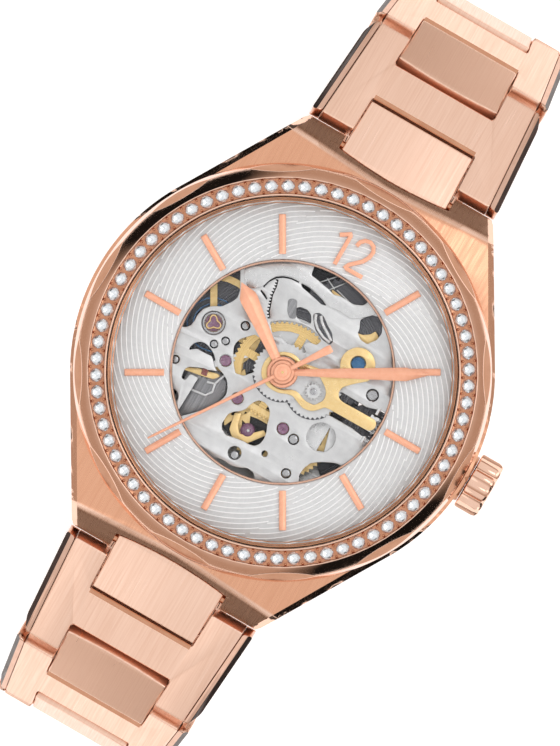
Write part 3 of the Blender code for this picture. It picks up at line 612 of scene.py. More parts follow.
# how far a spot lies past the upper edge of the slanting flanks
def pastFlank(x, y):
    tilt = radians(caseLook["flankTilt"])
    return abs(x) * cos(tilt) + abs(y) * sin(tilt) - caseLook["flank"] + caseLook["flankEdge"]


# height of the case top: a shallow cone round the dial, cut by the sloping lug ends
def caseTop(x, y):
    look = caseLook
    cone = look["high"] - look["coneFall"] * max(0.0, hypot(x, y) - look["coneFrom"])
    end = look["ridgeZ"] - look["endFall"] * (abs(y) - look["ridgeY"])
    blend = max(0.0, look["soft"] - abs(cone - end)) / look["soft"]
    return min(cone, end) - blend * blend * look["soft"] / 4 - look["flankFall"] * max(0.0, pastFlank(x, y))


def caseOutline():
    look = caseLook
    end, inner, radius = look["lugEnd"], look["lugInner"], look["radius"]
    tilt = radians(look["flankTilt"])
    corner = (look["flank"] - end * sin(tilt)) / cos(tilt)
    out, back, fall = look["outerCut"]
    lug = [(corner + out, end - fall), (corner - back, end), (inner + look["innerCut"], end),
           (inner, end - look["innerCut"])]
    rest = degrees(atan2(sqrt(radius ** 2 - inner ** 2), inner))
    flank = bow(radius, -29, 29, 49)
    top = lug + bow(radius, rest, 180 - rest, 25) + mirrored(lug)
    return flank + top + mirrored(flank) + [(-x, -y) for x, y in top]


# rows of edges that let the flat top follow its cone, ridge and flanks
def caseCuts():
    look = caseLook
    rows = [3 + 0.5 * k for k in range(28)]
    lugRows = [17.0 + 0.1 * k for k in range(29)]
    cuts = [((0, y * side, 0), (0, 1, 0)) for side in (1, -1) for y in rows]
    cuts += [((0, y * side, 0), (0, 1, 0)) for side in (1, -1) for y in lugRows]
    cuts += [((x, 0, 0), (1, 0, 0)) for x in (-7, -5, -2.5, 0, 2.5, 5, 7)]
    tilt = radians(look["flankTilt"])
    for flip in ((1, 1, 1), (-1, 1, 1), (1, -1, 1), (-1, -1, 1)):
        out = Vector((cos(tilt), sin(tilt), 0)) * Vector(flip)
        cuts += [(out * (look["flank"] - look["flankEdge"] * share), out) for share in (1.0, 0.42)]
    return cuts


def makeCase():
    look = caseLook
    case = plate([caseOutline(), ring(look["bore"], 144)], look["low"], look["high"], 0.0, 1)
    reach, middle, corner = look["lip"]
    for side in (1, -1):
        front = [(reach * t / 12, middle + (corner - middle) * (t / 12) ** 2) for t in range(-12, 13)]
        lip = [(x, y * side) for x, y in front + [(reach, look["lipBack"]), (-reach, look["lipBack"])]]
        withShape(case, plate([lip], look["lipZ"], look["high"] + 0.02, 0.0, 1), "UNION")
        start = look["underFrom"] * side
        slope = Vector((0, look["underRise"], start - look["lugEnd"] * side))
        bisected(case, (0, start, look["low"]), slope * side)
    edit(case)
    for spot, normal in caseCuts():
        bpy.ops.mesh.select_all(action="SELECT")
        bpy.ops.mesh.bisect(plane_co=spot, plane_no=normal, threshold=0.00001)
    leave()
    for vert in case.data.vertices:
        if vert.co.z > look["high"] - 0.01:
            vert.co.z = caseTop(vert.co.x, vert.co.y)
        if abs(vert.co.y) > look["lugEnd"] - 0.01:
            share = (look["draftTop"] - vert.co.z) / look["draftOver"]
            lean = look["draft"] * min(1.0, max(0.0, share))
            vert.co.y += lean if vert.co.y > 0 else -lean
    tidyMesh(case, 0.002)
    roundEdges(case, look["edge"], 4, 40)
    withShape(case, crossBar(*look["stemHole"], (look["stemX"], 0, look["stemZ"]), 32), "DIFFERENCE")
    # the case and lug tops take the darker copper with its painted ridge highlight and painted end shade
    painted(case, "roseSatin", "rosePolish", "roseFacetShaded")
    for face in case.data.polygons:
        if face.normal.z > 0.5:
            face.material_index = 1 if pastFlank(*face.center.xy) > 0 else 2
        elif 0.12 < abs(face.normal.z):
            face.material_index = 1
    # the spring bars take a darker copper as painted shade
    bars = [crossBar(*look["bar"], (0, look["barY"] * side, look["barZ"])) for side in (1, -1)]
    shell = joined([case] + [painted(roundEdges(bar, 0.08, 2, 40), "roseGrooveShade") for bar in bars])
    pick(shell)
    bpy.ops.object.shade_smooth_by_angle(angle=radians(look["smooth"]))
    applyStep(shell, "WEIGHTED_NORMAL", keep_sharp=True)  # flat faces stay flat beside the rounding
    finishPiece(shell, "case_shell", None, "case", ["case_middle"], None)


makeCase()
print("case done")

# bezel with twelve flats, stone channel, stones and beads
bezelLook = {"low": 6.95, "high": 9.7, "inner": 14.78, "outer": 17.62, "wall": 0.6, "ridgeR": 17.35,
             "ridgeZ": 8.8, "channel": (14.98, 16.3), "channelZ": 9.12, "flats": 12, "flatR": 17.5,
             "flatZ": 8.08, "flatTilt": 28.9, "flatFrom": 7.4}
stoneLook = {"count": 70, "ringR": 15.64, "girdle": 0.58, "seatZ": 9.3, "tableZ": 9.66, "bead": 0.13,
             "beadOut": 0.47, "beadRise": 0.14, "poke": -0.1,
             "facets": ((0.34, 1.0, 0.0), (0.4, 0.8, pi / 16), (0.26, 0.7, pi / 16))}


def makeBezel():
    look = bezelLook
    low, high = look["low"], look["high"]
    inner, outer = look["channel"]
    bezel = lathe([(look["inner"], low), (look["outer"], low), (look["outer"], low + look["wall"]),
                   (look["ridgeR"], look["ridgeZ"]), (outer + 0.08, high), (outer, high - 0.06),
                   (outer, look["channelZ"]), (inner, look["channelZ"]), (inner, high + 0.03),
                   (look["inner"] + 0.08, high + 0.05), (look["inner"], high - 0.02)], 216)
    rise = radians(look["flatTilt"])
    for k in range(look["flats"]):
        x, y = clockSpot(1.0, 360 * k / look["flats"])
        bisected(bezel, (x * look["flatR"], y * look["flatR"], look["flatZ"]),
                 (x * cos(rise), y * cos(rise), sin(rise)))
    roundEdges(bezel, 0.15, 4, 11)
    # the twelve flats take the dark copper as painted shade
    painted(bezel, "rosePolish", "bezelFlatShaded")
    for face in bezel.data.polygons:
        if abs(face.normal.z - sin(rise)) < 0.03 and face.center.z > look["flatFrom"]:
            face.material_index = 1
    finishPiece(bezel, "bezel_ring", None, "case", ["bezel"])


def makeStones():
    look = stoneLook
    x, y, seat = look["ringR"], 0.0, look["seatZ"]
    letGo()
    bpy.ops.mesh.primitive_circle_add(vertices=16, radius=look["girdle"], fill_type="NGON",
                                      location=(x, y, seat))
    stone = settle(bpy.context.object)
    edit(stone)
    for share, size, turn in look["facets"]:
        rise = (look["tableZ"] - seat) * share
        bpy.ops.mesh.extrude_region_move(TRANSFORM_OT_translate={"value": (0, 0, rise)})
        bpy.ops.transform.resize(value=(size, size, 1), center_override=(x, y, 0))
        bpy.ops.transform.rotate(value=turn, orient_axis="Z", center_override=(x, y, 0))
    bpy.ops.mesh.poke(offset=look["poke"])
    leave()
    stones = repeated(tidyMesh(stone), look["count"])
    # the stones carry painted facet reflections in their colour
    finishPiece(stones, "stone_brilliants", "brilliant", "case", ["stone_ring"], 0)
    beads = []
    half = pi / look["count"]
    for reach in (x + look["beadOut"], x - look["beadOut"]):
        letGo()
        spot = (reach * cos(half), reach * sin(half), seat + look["beadRise"])
        bpy.ops.mesh.primitive_uv_sphere_add(segments=8, ring_count=5, radius=look["bead"], location=spot)
        beads.append(settle(bpy.context.object))
    beads = repeated(joined(beads), look["count"])
    inner, outer = bezelLook["channel"]
    low = bezelLook["channelZ"] + 0.02
    floor, shoulder = seat + 0.06, seat + 0.12
    channel = lathe([(inner + 0.03, low), (outer - 0.03, low), (outer - 0.03, shoulder),
                     (outer - 0.16, floor), (inner + 0.16, floor), (inner + 0.03, shoulder)], 210)
    finishPiece(joined([channel, beads]), "stone_seat", "copperSeat", "case", (), 60)


# wall between glass and dial, and the thin rim of the dial opening
rimLook = {"flange": [(14.3, 7.42), (14.7, 7.42), (14.7, 9.1), (14.55, 9.1), (14.5, 9.06), (14.42, 8.2),
                      (14.36, 7.62), (14.24, 7.56), (14.24, 7.46)],
           "opening": [(9.28, 6.9), (9.45, 6.88), (9.47, 7.44), (9.42, 7.5), (9.33, 7.5), (9.28, 7.44)]}


def makeRims():
    # the flange wall takes dark brown and its top the dark copper, both as painted shade
    flange = painted(lathe(rimLook["flange"], 180), "flangeShadeCopper", "bezelFlatShaded")
    for face in flange.data.polygons:
        if face.normal.z > 0.75:
            face.material_index = 1
    finishPiece(flange, "flange_wall", None, "case", ["dial_flange"], 40)
    opening = lathe(rimLook["opening"], 144)
    # the opening rim takes the darker copper as painted shade
    finishPiece(opening, "opening_rim", "roseRailShaded", "case", ["aperture_ring"], 40)


makeBezel()
makeStones()
makeRims()
print("bezel, stones and rims done")

# dial with six families of fine lines, each on circles set off its centre
dialLook = {"outer": 14.6, "inner": 9.5, "low": 7.0, "high": 7.35, "margins": (0.15, 0.3), "families": 6,
            "offset": 3.4, "lead": 105.0, "pitch": 0.43, "seam": 133.0, "swirl": 29.5, "ridge": 0.055,
            "sunk": 0.012}


def makeDial():
    look = dialLook
    inner, outer, offset = look["inner"], look["outer"], look["offset"]
    dial = plate([ring(outer, 180), ring(inner, 144)], look["low"], look["high"])
    lines = bpy.data.curves.new("dialLines", "CURVE")
    lines.dimensions = "3D"
    lines.bevel_depth = look["ridge"]
    lines.bevel_resolution = 1
    step = 2 * pi / look["families"]
    for family in range(look["families"]):
        seam = radians(look["seam"]) - family * step
        aim = seam - radians(look["lead"])
        cx, cy = offset * cos(aim), offset * sin(aim)
        radius = inner - offset - 1.0
        while radius < outer + offset:
            run = []
            for k in range(361):
                a = aim + pi - 2 * pi * k / 360
                x, y = cx + radius * cos(a), cy + radius * sin(a)
                r = hypot(x, y)
                share = (r - inner) / (outer - inner)
                turn = (seam - radians(look["swirl"]) * share - atan2(y, x)) % (2 * pi)
                inside = inner + look["margins"][0] < r < outer - look["margins"][1] and turn < step
                if inside:
                    run.append((x, y, look["high"] - look["sunk"]))
                if len(run) > 3 and (k == 360 or not inside):
                    addLine(lines, run, False)
                if not inside:
                    run = []
            radius += look["pitch"]
    # the raised lines are painted lighter than the dial as a painted highlight
    relief = painted(tidyMesh(meshOf(lines)), "dialLineHighlight")
    whole = joined([painted(dial, "dialSilver"), relief])
    finishPiece(whole, "dial_face", None, "case", ["dial"], 40)


# eleven batons and a plain 12
markLook = {"inner": 9.95, "outer": 13.3, "width": 0.58, "low": 7.37, "side": 0.24, "crown": 0.1, "end": 0.2,
            "edge": 0.05, "stroke": 0.37, "strokeHigh": 0.3,
            "strokes": ([(-1.62, 12.42), (-1.1, 12.75), (-0.86, 12.95), (-0.76, 12.8), (-0.76, 10.05)],
                        [(0.08, 12.3), (0.18, 12.72), (0.5, 13.05), (0.95, 13.15), (1.35, 12.97),
                         (1.57, 12.55), (1.5, 12.0), (1.2, 11.45), (0.3, 10.6), (0.12, 10.3), (0.3, 10.24),
                         (1.82, 10.24)])}


def makeMarks():
    look = markLook
    inner, outer, low = look["inner"], look["outer"], look["low"]
    rows = [(along, look["width"] / 2, look["crown"])
            for along in (inner, inner + look["end"], outer - look["end"], outer)]
    marks = []
    for hour in range(1, 12):
        mark = roundEdges(blade(rows, low, look["side"]), look["edge"], 2, 30)
        mark.rotation_euler.z = -radians(30 * hour)
        marks.append(settle(mark))
    marks += [plate([ribbon(stroke, look["stroke"])], low, low + look["strokeHigh"], look["edge"])
              for stroke in look["strokes"]]
    finishPiece(joined(marks), "hour_marks", "roseFlat", "case", ["hour_markers"], 30)


# hands: rows of (distance, half width, ridge height) from tail to tip
handLook = {
    "hour": {"angle": -54.5, "low": 7.75, "side": 0.06, "hub": (0.97, 1.32), "body": "hours",
             "rows": [(0.6, 0.34, 0.1), (1.2, 0.38, 0.13), (6.75, 0.76, 0.26), (7.1, 0.72, 0.26),
                      (8.3, 0.02, 0.02)]},
    "minute": {"angle": 61.0, "low": 8.15, "side": 0.06, "hub": (0.66, 1.02), "body": "minutes",
               "rows": [(0.5, 0.24, 0.08), (1.2, 0.28, 0.11), (10.0, 0.57, 0.23), (10.4, 0.57, 0.23),
                        (12.4, 0.02, 0.02)]},
    "second": {"angle": 214.0, "low": 8.55, "side": 0.08, "hub": (0.22, 0.76), "body": "seconds",
               "rows": [(-4.6, 0.3, 0.03), (-4.3, 0.36, 0.06), (-2.2, 0.22, 0.06), (0.0, 0.17, 0.06),
                        (12.0, 0.11, 0.05), (12.6, 0.07, 0.02)],
               "cap": [(0.0, 0.2), (0.42, 0.2), (0.42, 0.27), (0.3, 0.31), (0.12, 0.31), (0.1, 0.26),
                       (0.0, 0.26)]}}


def makeHand(kind, look):
    low = look["low"]
    hand = roundEdges(blade(look["rows"], low, look["side"]), 0.025, 2, 30)
    hand.rotation_euler.z = -radians(look["angle"])
    inner, outer = look["hub"]
    hub = [(inner, 0.0), (outer, 0.0), (outer, 0.14), (outer - 0.07, 0.2), (inner + 0.1, 0.22), (inner, 0.17)]
    parts = [settle(hand), lathe([(r, low + z) for r, z in hub], 64)]
    if "cap" in look:
        parts.append(lathe([(r, low + z) for r, z in look["cap"]], 40))
    finishPiece(joined(parts), kind + "_hand_blade", "roseFlat", look["body"], [kind + "_hand"],
                30)


makeDial()
makeMarks()
for kind, look in handLook.items():
    makeHand(kind, look)
print("dial, marks and hands done")

# bracelet links, placed by the hinge points of the frame
linkLook = {"endWidth": 18.2, "taper": 0.122, "share": 0.56, "play": 0.04, "pitch": 6.2, "centrePitch": 3.4,
            "top": 1.25, "centreTop": 1.15, "centreLow": -1.0, "reach": (1.12, 1.04), "bow": (0.26, 0.34),
            "farReach": 1.0, "armEnd": (1.6, 2.4), "armLean": (-0.85, -0.68), "armCutZ": 0.75, "barFrom": 1.2,
            "rail": 0.86, "railCut": (1.2, 0.5), "seam": 0.03, "pin": 0.42, "pinHole": 0.5,
            "chamfers": (0.3, 0.14), "roll": ((22, 0.08), (45, 0.29), (68, 0.08))}
pivots = {j["child"]: j["pos_m"] for j in frame["joints"] if j["type"] == "hinge"}


def placeLink(piece, here, there, side):
    turn = 0.0 if side == "12" else pi
    forward = (there[1] - here[1]) * (1 if side == "12" else -1)
    tilt = atan2(there[2] - here[2], forward)
    piece.matrix_world = (Matrix.Translation([v / mm for v in here]) @ Matrix.Rotation(turn, 4, "Z")
                          @ Matrix.Rotation(tilt, 4, "X"))
    return settle(piece)


# half is the bracelet's half width at the near hinge; pairs of values are for other links and the first
def centreLink(half, first):
    look = linkLook
    slope = look["taper"] / 2 * look["share"]

    def wide(s):
        return half * look["share"] - look["play"] - slope * s

    near, far = -look["reach"][first], look["centrePitch"] + look["farReach"]
    front = [(wide(near) * t / 6, near + look["bow"][first] * (t / 6) ** 2) for t in range(-6, 7)]
    outline = softened(front + [(wide(far), far), (-wide(far), far)], 0.16)
    piece = plate([outline], look["centreLow"], look["centreTop"], 0.12, 3)
    for s in (0.0, look["centrePitch"]):
        withShape(piece, crossBar(look["pinHole"], 30, (0, s, 0)), "DIFFERENCE")
    return painted(piece, "roseSatin")


# an outer rail whose top edge is taken off in three slanted cuts
def sideRail(wide, s0, s1, side):
    look = linkLook
    top = look["top"] - 0.05
    back, cut = look["railCut"]
    rail = [(wide(s0), s0), (wide(s1 - back), s1 - back), (wide(s1) - cut, s1), (wide(s1) - look["rail"], s1),
            (wide(s0) - look["rail"], s0)]
    strip = plate([softened([(x * side, s) for x, s in rail], 0.4, 4)], 0.1 - look["top"], top, 0.1)
    # the rail takes a darker copper as painted shade, and its rounded outer edges a near black one as painted
    # shade
    painted(strip, "roseRailShaded", "roseEdgeShade")
    start, end = Vector((wide(s0) * side, s0, top)), Vector((wide(s1) * side, s1, top))
    along = (end - start).normalized()
    out = Vector((along.y, -along.x, 0)) * side
    for angle, depth in look["roll"]:
        normal = out * sin(radians(angle)) + Vector((0, 0, cos(radians(angle))))
        bisected(strip, start - normal * depth, normal)
    for face in strip.data.polygons:
        if 0.1 < face.normal.z < 0.9 and face.normal.x * side > 0.3:
            face.material_index = 1
    return strip


def hLink(half, first):
    look = linkLook
    slope = look["taper"] / 2
    inner = half * look["share"] + look["seam"]

    def wide(s):
        return half - slope * s

    def gap(s):
        return inner - slope * look["share"] * s

    s0, s1 = -look["armEnd"][first], look["pitch"] + look["armEnd"][0]
    b0, b1 = look["barFrom"], look["pitch"] - look["barFrom"]
    cutIn = look["rail"] + look["seam"]
    right = [(wide(s0) - cutIn, s0), (wide(s1) - cutIn, s1), (gap(s1), s1), (gap(b1), b1)]
    low = [(gap(b0), b0), (gap(s0), s0)]
    top = look["top"]
    body = plate([softened(right + mirrored(right) + mirrored(low) + low, 0.24)], -top, top, 0.1, 3)
    for s, chamfer in zip((b0, b1), look["chamfers"]):
        side = chamfer * sqrt(2)
        withShape(body, block((2 * gap(s) - 0.16, side, side), (0, s, top), (pi / 4, 0, 0)), "DIFFERENCE")
    # the near chamfer takes a darker copper as painted shade, the far one the polished finish
    painted(body, "roseSatin", "rosePolish", "roseGrooveShade")
    for face in body.data.polygons:
        if 0.6 < face.normal.z < 0.8 and abs(face.normal.x) < 0.1 and b0 - 0.1 < face.center.y < b1 + 0.1:
            face.material_index = 2 if face.center.y < (b0 + b1) / 2 else 1
    whole = joined([body] + [sideRail(wide, s0, s1, side) for side in (1, -1)])
    bisected(whole, (0, s0, 0.0 if first else look["armCutZ"]), (0, -2.0, look["armLean"][first]))
    bisected(whole, (0, s1, look["armCutZ"]), (0, 2.0, look["armLean"][0]))
    for s in (0.0, look["pitch"]):
        pin = roundEdges(crossBar(look["pin"], 2 * wide(s) + 0.06, (0, s, 0)), 0.1, 2, 40)
        whole = joined([whole, painted(pin, "steelPolish")])
    return whole


def makeBracelet():
    look = linkLook
    for side, tail in (("12", "clasp_end_link"), ("6", "clasp_base")):
        names = [f"{kind}_link_{side}_{number}" for number in range(1, 6) for kind in ("centre", "h")]
        run = 0.0
        for name, after in zip(names, names[1:] + [tail]):
            half = (look["endWidth"] - look["taper"] * run) / 2
            isCentre = name.startswith("centre")
            piece = (centreLink if isCentre else hLink)(half, name.endswith("_1"))
            placeLink(piece, pivots[name], pivots[after], side)
            finishPiece(piece, name + "_dressed", None, name, [name], 30)
            run += look["centrePitch" if isCentre else "pitch"]


makeBracelet()
print("bracelet done")

# crown with scooped flutes and a collar on the case; steps and face are (height or rise, share of radius)
crownLook = {"inner": 18.1, "radius": 2.5, "flutes": 10, "around": 14, "depth": 0.34, "land": 0.28,
             "scoop": 0.7, "turn": 13.0, "stemZ": 4.6,
             "steps": ((0.0, 0.92), (0.07, 0.985), (0.18, 1.0), (1.65, 1.0), (1.9, 0.97), (2.05, 0.92),
                       (2.12, 0.86)),
             "face": ((-0.06, 0.74), (0.0, 0.5), (0.05, 0.42)),
             "collar": [(17.4, 1.05), (17.4, 2.12), (17.98, 2.12), (18.04, 2.06), (18.04, 1.05)]}


def makeCrown():
    look = crownLook
    count = look["flutes"] * look["around"]
    land = look["land"]
    letGo()
    bpy.ops.mesh.primitive_circle_add(vertices=count, radius=1.0, fill_type="NGON")
    crown = bpy.context.object
    for k, vert in enumerate(crown.data.vertices):
        share = (k % look["around"]) / look["around"]
        dip = max(0.0, sin(pi * (share - land) / (1 - land))) if share > land else 0.0
        reach = look["radius"] - look["depth"] * dip ** look["scoop"]
        angle = 2 * pi * k / count + radians(look["turn"])
        vert.co = (reach * cos(angle), reach * sin(angle), 0)
    edit(crown)
    size, level = 1.0, 0.0
    rises = []
    for height, share in look["steps"]:
        rises.append((height - level, share, height > 0))
        level = height
    for rise, share, lifts in rises + [(rise, share, True) for rise, share in look["face"]]:
        if lifts:
            bpy.ops.mesh.extrude_region_move(TRANSFORM_OT_translate={"value": (0, 0, rise)})
        bpy.ops.transform.resize(value=(share / size, share / size, 1), center_override=(0, 0, 0))
        size = share
    leave()
    tidyMesh(crown)
    collar = lathe([(radius, x) for x, radius in look["collar"]], 64)
    for piece, x in ((crown, look["inner"]), (collar, 0)):
        piece.matrix_world = Matrix.Translation((x, 0, look["stemZ"])) @ Matrix.Rotation(pi / 2, 4, "Y")
        settle(piece)
    finishPiece(crown, "crown_fluted", "rosePolish", "crown_knob", ["crown"])
    # the collar takes the dark copper as painted shade
    finishPiece(collar, "crown_collar", "bezelFlatShaded", "case", ())


makeCrown()
print("crown done")

# movement: main plate with its windows, raised arch, jewels, pins and screws
plateLook = {
    "radius": 12.9, "low": 5.3, "high": 6.3, "edge": 0.045, "archHigh": 6.54,
    "holes": [(0.0, 0.0, 0.62), (3.06, -0.1, 0.32), (5.54, -3.13, 1.25), (-7.1, 0.7, 1.0),
              (2.12, -6.69, 0.27), (-0.1, -7.9, 0.58)],
    "jewels": [(-4.64, -1.54), (-2.2, -3.8), (2.4, -4.1)], "jewel": 0.47,
    "pins": [(-6.18, -0.83, 0.3), (-5.47, -0.12, 0.3), (-8.37, -3.57, 0.3), (-4.65, 1.83, 0.34),
             (3.62, -4.43, 0.4), (4.51, -7.23, 0.36)],
    "screws": [(7.53, 2.11, 0.46, 20.0)],
    "windows": {
        "balance": [(-9.07, -0.85), (-8.66, -0.44), (-8.59, 0.1), (-8.62, 0.62), (-8.45, 1.29),
                    (-7.98, 1.84), (-7.19, 2.26), (-6.67, 3.0), (-6.43, 3.5), (-6.5, 4.0), (-6.68, 4.46),
                    (-7.32, 5.56), (-8.1, 6.1), (-9.3, 4.5), (-10.1, 2.2), (-10.35, 0.0), (-10.2, -0.9)],
        "cave": [(-7.76, -2.3), (-7.81, -2.03), (-7.7, -1.66), (-7.45, -1.34), (-7.12, -1.17),
                 (-6.79, -1.14), (-6.38, -1.25), (-5.96, -1.44), (-5.68, -1.64), (-5.39, -1.98),
                 (-5.03, -2.34), (-4.69, -2.46), (-4.14, -2.66), (-3.69, -2.95), (-3.38, -3.41),
                 (-3.17, -3.98), (-3.24, -4.4), (-3.49, -5.04), (-3.86, -5.6), (-4.68, -6.59),
                 (-5.6, -7.5), (-6.0, -7.5), (-5.9, -3.95), (-6.67, -4.01), (-6.7, -4.29), (-6.74, -4.66),
                 (-7.11, -4.7), (-7.23, -4.34), (-7.26, -3.84), (-7.05, -3.54), (-6.57, -3.31),
                 (-6.16, -3.12), (-5.82, -2.98), (-5.47, -2.97), (-5.23, -2.82), (-4.95, -2.76),
                 (-4.82, -2.66), (-5.14, -2.5), (-5.5, -2.1), (-5.84, -1.8), (-6.54, -1.86),
                 (-7.23, -1.87)],
        "leftWheel": [(-3.4, -2.05), (-3.87, -1.51), (-4.37, -0.72), (-4.62, -0.2), (-4.64, 0.15),
                      (-4.5, 0.6), (-4.12, 1.05), (-3.6, 1.6), (-2.6, 1.5), (-2.0, 0.7), (-2.1, -1.2),
                      (-2.7, -1.9)],
        "upperWheel": [(-3.05, 3.16), (-2.3, 3.72), (-1.4, 4.15), (-0.5, 4.36), (0.3, 4.37), (1.0, 4.24),
                       (1.5, 3.9), (1.35, 3.42), (0.6, 3.3), (0.35, 2.84), (0.9, 2.4), (0.26, 2.1),
                       (-0.65, 2.2), (-1.52, 2.5), (-2.2, 2.2)],
        "barrel": [(-1.71, 5.27), (-1.42, 5.53), (-0.8, 5.6), (-0.38, 5.42), (-0.14, 5.1), (0.02, 4.72),
                   (-0.25, 4.52), (-0.9, 4.5), (-1.32, 4.62)],
        "underArch": [(-2.41, 7.29), (-1.62, 7.31), (-0.89, 7.16), (-0.13, 6.96), (0.42, 6.7),
                      (-0.02, 6.58), (-0.73, 6.75), (-1.44, 6.9), (-2.15, 7.02)],
        "archSlit": [(-5.03, 5.4), (-4.88, 6.08), (-4.5, 6.68), (-3.99, 7.04), (-3.3, 7.27), (-2.6, 7.3),
                     (-2.6, 7.2), (-3.27, 7.16), (-3.93, 6.94), (-4.41, 6.6), (-4.78, 6.04), (-4.93, 5.4)],
        "sliver": [(-5.01, 5.12), (-4.6, 4.96), (-4.2, 4.72), (-4.25, 4.62), (-4.62, 4.8), (-5.05, 5.0)],
        "click": [(3.46, 7.06), (3.66, 7.41), (4.15, 7.94), (4.75, 8.1), (5.3, 7.6), (5.6, 7.0),
                  (5.5, 6.3), (5.27, 6.01), (4.99, 5.6), (4.3, 5.66), (3.84, 6.02), (3.78, 6.44)],
        "lower": [(-2.25, -5.74), (-2.21, -5.33), (-1.89, -4.92), (-1.41, -4.6), (-1.1, -4.18),
                  (-1.01, -3.74), (-0.8, -3.34), (-0.54, -3.02), (0.0, -2.95), (0.49, -3.15),
                  (0.81, -3.52), (0.97, -3.99), (1.08, -4.48), (1.33, -5.01), (1.45, -5.6), (1.38, -6.15),
                  (1.06, -6.56), (0.57, -6.67), (0.11, -6.66), (-0.81, -6.8), (-1.49, -6.97),
                  (-2.02, -6.72), (-2.26, -6.3)],
        "footLeft": [(-1.6, -9.3), (-1.19, -9.03), (-0.6, -8.9), (0.15, -9.0), (0.89, -8.77), (1.5, -8.47),
                     (2.11, -8.57), (2.45, -8.95), (2.5, -9.7), (-1.6, -9.9)],
        "footRight": [(5.55, -6.81), (5.59, -6.11), (5.87, -5.45), (6.49, -4.98), (7.35, -4.54),
                      (7.82, -4.38), (8.25, -4.35), (8.9, -4.7), (6.1, -7.7)],
        "lens": [(-7.3, -5.75), (-6.85, -5.85), (-6.6, -6.1), (-6.5, -6.5), (-6.9, -6.9), (-7.6, -6.2)],
        "stem": [(4.9, 0.8), (5.14, 1.04), (7.63, 0.98), (8.7, 1.35), (11.6, 1.35), (11.6, -1.35),
                 (8.7, -1.35), (7.4, -1.14), (5.1, -1.16), (4.85, -0.9)]},
    "rim": [(-1.97, 8.3), (-1.3, 8.22), (-0.95, 8.14), (-0.06, 8.0), (0.45, 7.82), (1.06, 8.0),
            (1.72, 7.98), (2.31, 7.93), (3.1, 8.3), (3.5, 9.37), (2.2, 9.75), (0.6, 9.98), (-1.0, 9.95),
            (-2.3, 9.73)],
    "arch": [(4.3, 8.05), (3.3, 7.1), (2.75, 6.75), (1.6, 6.85), (0.6, 6.73), (-0.13, 7.0), (-0.89, 7.2),
             (-1.62, 7.35), (-2.43, 7.36), (-3.3, 7.34), (-3.97, 7.11), (-4.48, 6.74), (-4.85, 6.12),
             (-5.03, 5.46), (-5.6, 4.9), (-6.3, 4.7), (-6.9, 5.4), (-7.2, 6.3), (-6.3, 8.3), (-4.2, 9.5),
             (-2.0, 10.2), (0.5, 10.4), (3.0, 10.0), (4.9, 9.2)],
    "teeth": [(-4.2, 6.5), (-4.06, 6.01), (-3.98, 5.18), (-3.72, 4.44), (-3.56, 3.89), (-3.24, 3.45)],
    # the inlays are dark and grey sheets laid in as painted shade in recesses of the plate
    "inlays": {
        "deepSteel": [(-0.24, 5.55), (0.14, 4.98), (0.6, 4.46), (1.5, 4.04), (2.3, 3.97), (2.42, 4.3),
                      (1.98, 4.95), (1.38, 5.28), (0.72, 5.78), (0.2, 5.92)],
        "recessShadeSteel": [(-2.67, 5.54), (-2.35, 5.85), (-1.9, 5.85), (-1.74, 5.4), (-1.4, 4.75),
                        (-1.3, 4.45), (-1.75, 4.2), (-2.2, 4.6)]},
    "springs": ([(-0.02, 5.66), (0.22, 5.12), (0.74, 4.64), (1.5, 4.26), (2.18, 4.13)],
                [(0.42, 5.74), (0.76, 5.32), (1.22, 4.98), (1.76, 4.66), (2.24, 4.3)]),
    "ticks": [(8.62, 1.16, 0.34), (8.7, -1.5, 0.3)], "tooth": (0.2, 0.28), "springWide": 0.26,
    "footPin": (-0.02, -8.05, 0.36), "ribs": 12}


# a slot-headed screw
def screw(x, y, radius, low, high, turn):
    head = lathe([(0.0, low), (radius, low), (radius, high - 0.07), (radius - 0.07, high), (0.0, high)], 40)
    slot = block((2.6 * radius, 0.16 * radius + 0.05, 0.22), (0, 0, high), (0, 0, radians(turn)))
    withShape(head, slot, "DIFFERENCE")
    head.location = (x, y, 0)
    return settle(head)


def roundPin(x, y, radius, low, high):
    return lathe([(0.0, low), (radius, low), (radius, high - 0.12), (radius * 0.85, high - 0.04),
                  (radius * 0.5, high), (0.0, high)], 32, x, y)


# a slit whose one side is a row of small teeth
def toothedSlit(points, width, pitch):
    spots = [Vector(point) for point in points]
    rows = []
    for one, two in zip(spots, spots[1:]):
        count = max(1, round((two - one).length / pitch))
        rows += [one.lerp(two, k / count) for k in range(count)]
    rows.append(spots[-1])
    left, right = [], []
    for k, spot in enumerate(rows):
        along = (rows[min(k + 1, len(rows) - 1)] - rows[max(k - 1, 0)]).normalized()
        side = Vector((-along.y, along.x))
        left.append(tuple(spot + side * 0.04))
        for depth, shift in ((0.02, -0.3), (width, -0.1), (width, 0.1), (0.02, 0.3)):
            right.append(tuple(spot - side * depth + along * pitch * shift))
    return left + right[::-1]


